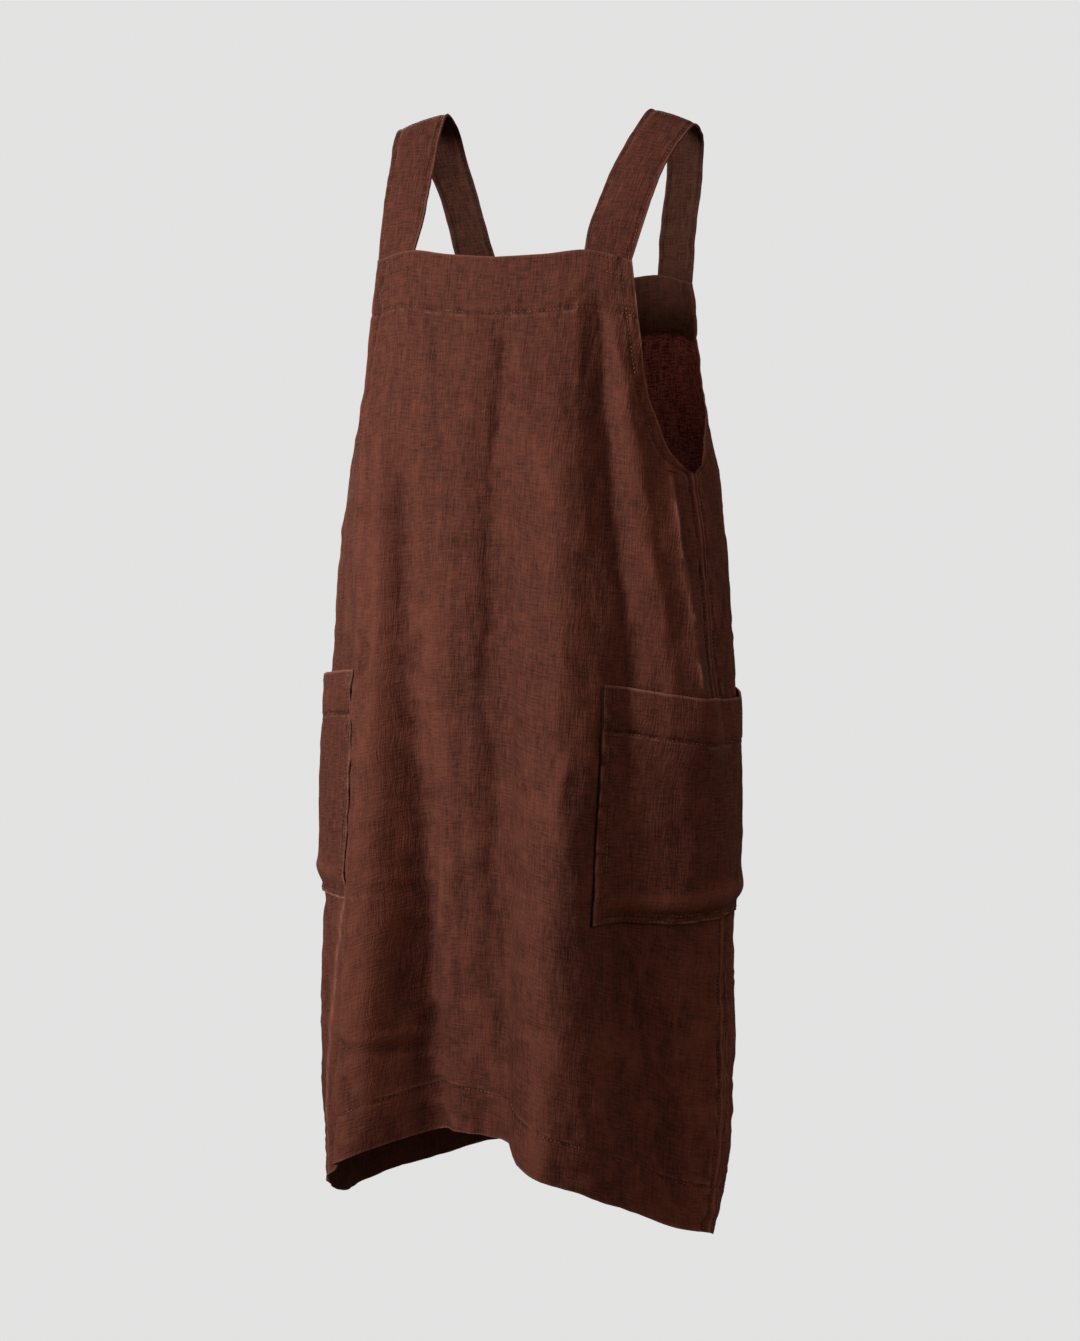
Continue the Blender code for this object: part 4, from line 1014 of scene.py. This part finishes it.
for name, panel, straps in (("front_stitches", FRONT, STRAP_AT_BIB), ("back_stitches", BACK, STRAP_AT_BACK)):
    top, hem, lines = panel["top"], panel["hem"], []
    share = np.linspace(-0.985, 0.985, 400)
    lines.append((share, smooth(top, 1, np.abs(share)) + BAND_STITCH))
    lines.append((share, smooth(hem, 1, share) - HEM_STITCH))
    for side in (-1, 1):
        near = side * np.linspace(straps[0] + 0.02, 0.97, 40)
        for inset in STRAP_END_ROWS:
            lines.append((near, smooth(top, 1, np.abs(near)) + inset))
        drop = np.linspace(smooth(top, 1, np.float64(1.0)) + 3, ARMHOLE_DROP - 3, 120)
        lines.append((side * side_share(panel, drop, ARMHOLE_STITCH), drop))
        drop = np.linspace(ARMHOLE_DROP + 4, smooth(hem, 1, np.float64(side)) - 3, 300)
        lines.append((side * side_share(panel, drop, SEAM_STITCH), drop))
    sew(name, [panel_line(panel, share, drop) for share, drop in lines])

for name, (face, out) in strap_faces.items():
    insets = (STRAP_STITCH, STRAP_WIDTH - STRAP_STITCH)
    columns = [nearest(strap_across * STRAP_WIDTH, inset) for inset in insets]
    sew(f"{name}_stitches", [(face[:, column], out[:, column]) for column in columns])

for name, (face, out) in pocket_faces.items():
    hem_row = nearest(pocket_down[:, 0] * POCKET_DEPTH, POCKET_HEM)
    rows = [(face[hem_row], out[hem_row])]
    for inset, _ in POCKET_STITCHES:
        left = nearest(pocket_across * POCKET_WIDTH, inset)
        right = len(pocket_across) - 1 - left
        foot = nearest((1 - pocket_down[:, 0]) * POCKET_DEPTH, inset)
        rows.append((face[:foot, left], out[:foot, left]))
        rows.append((face[:foot, right], out[:foot, right]))
        rows.append((face[foot, left:right + 1], out[foot, left:right + 1]))
    sew(f"{name}_stitches", rows)


# ======== Floor, light and camera ========
# A pale seamless studio cove, floor and walls in one, evenly lit from behind its own skin, with one large
# soft light on the wearer's right, another behind on the left, and a dim warm light from all round.
COVE_RADIUS = 6.0
COVE_LIGHT = 0.765
MIDDLE = Vector((0.0, -0.033, -0.485))

turns, climbs = np.meshgrid(np.radians(np.arange(0, 360, 5)), np.radians(np.linspace(-89.5, 89.5, 60)))
cove_points = np.stack([np.cos(climbs) * np.cos(turns), np.cos(climbs) * np.sin(turns), np.sin(climbs)], -1)
cove_points = cove_points * COVE_RADIUS + np.array(MIDDLE)
ring_count, around = cove_points.shape[:2]
number = np.arange(ring_count * around).reshape(ring_count, around)
beside = np.roll(number, -1, axis=1)
cove_faces = np.stack([number[:-1], number[1:], beside[1:], beside[:-1]], -1).reshape(-1, 4).tolist()
cove_faces += [number[0, ::-1].tolist(), number[-1].tolist()]
paint = new_material("matt studio paint, pale grey", {
    "Base Color": (0.0, 0.0, 0.0, 1.0), "Specular IOR Level": 0.0,
    "Emission Color": (1.0, 1.0, 0.995, 1.0), "Emission Strength": COVE_LIGHT,
})[0]
floor = add_mesh("floor", cove_points.reshape(-1, 3).tolist(), cove_faces, (paint,))
floor.visible_diffuse = floor.visible_glossy = floor.visible_transmission = floor.visible_shadow = False

world = bpy.data.worlds.new("dim warm light, less from below")
world.use_nodes = True
sky = world.node_tree
sky.nodes["Background"].inputs["Color"].default_value = (0.49, 0.395, 0.33, 1.0)
sky_place = add_node(sky, "TexCoord")
sky_height = add_node(sky, "SeparateXYZ", Vector=sky_place.outputs["Generated"])
sky_level = add_node(sky, "MapRange",
                     {"From Min": -0.7, "From Max": 0.1, "To Min": 0.05, "To Max": 0.93},
                     Value=sky_height.outputs["Z"])
sky.links.new(sky_level.outputs[0], sky.nodes["Background"].inputs["Strength"])
bpy.context.scene.world = world


def soft_light(name, kind, azimuth, elevation, distance, size, power):
    """A soft light at the given angles from the middle of the dress, hidden from the camera. An area light
    looks at that middle, and a spot light at the key light's aim above it."""
    lamp = bpy.data.lights.new(name, kind)
    lamp.energy = power
    turn, climb = np.radians(azimuth), np.radians(elevation)
    back_way = Vector((np.sin(turn) * np.cos(climb), -np.cos(turn) * np.cos(climb), np.sin(climb)))
    light = bpy.data.objects.new(name, lamp)
    light.location = MIDDLE + back_way * distance
    aim = Vector((0, 0, 0))
    if kind == "AREA":
        lamp.size = size
    else:
        lamp.shadow_soft_size = size
        lamp.spot_size, lamp.spot_blend = np.radians(KEY_SPREAD), 1.0
        aim = Vector((0, 0, KEY_AIM))
    light.rotation_mode = "QUATERNION"
    light.rotation_quaternion = (aim - back_way * distance).to_track_quat("-Z", "Y")
    light.visible_camera = False
    bpy.context.scene.collection.objects.link(light)


KEY_AIM = 0.45       # how far up the key light looks, so that the dress darkens a little towards its hem
KEY_SPREAD = 75.0
soft_light("key_light", "SPOT", -38, 17, 2.3, 0.35, 226)
soft_light("back_light", "AREA", 215, 30, 2.4, 0.9, 60)

AZIMUTH, ELEVATION = np.radians(24.7), np.radians(7.2)
DISTANCE = 2.8
ASIDE = 0.008037               # the aim lies this far to the side of the middle
FRAME_HEIGHT = 1341 * 0.893e-3   # metres that the frame takes in at the dress, 0.893 mm to a pixel of 1341
SENSOR = 36.0
right = Vector((np.cos(AZIMUTH), np.sin(AZIMUTH), 0))
level_backward = Vector((np.sin(AZIMUTH), -np.cos(AZIMUTH), 0))
backward = level_backward * np.cos(ELEVATION) + Vector((0, 0, np.sin(ELEVATION)))
camera_data = bpy.data.cameras.new("camera")
camera_data.sensor_width = SENSOR
camera_data.lens = SENSOR * DISTANCE / FRAME_HEIGHT
camera = bpy.data.objects.new("camera", camera_data)
camera.location = MIDDLE + right * ASIDE + backward * DISTANCE
camera.rotation_mode = "QUATERNION"
camera.rotation_quaternion = (-backward).to_track_quat("-Z", "Y")
bpy.context.scene.collection.objects.link(camera)
bpy.context.scene.camera = camera
bpy.context.scene.view_settings.view_transform = "Standard"
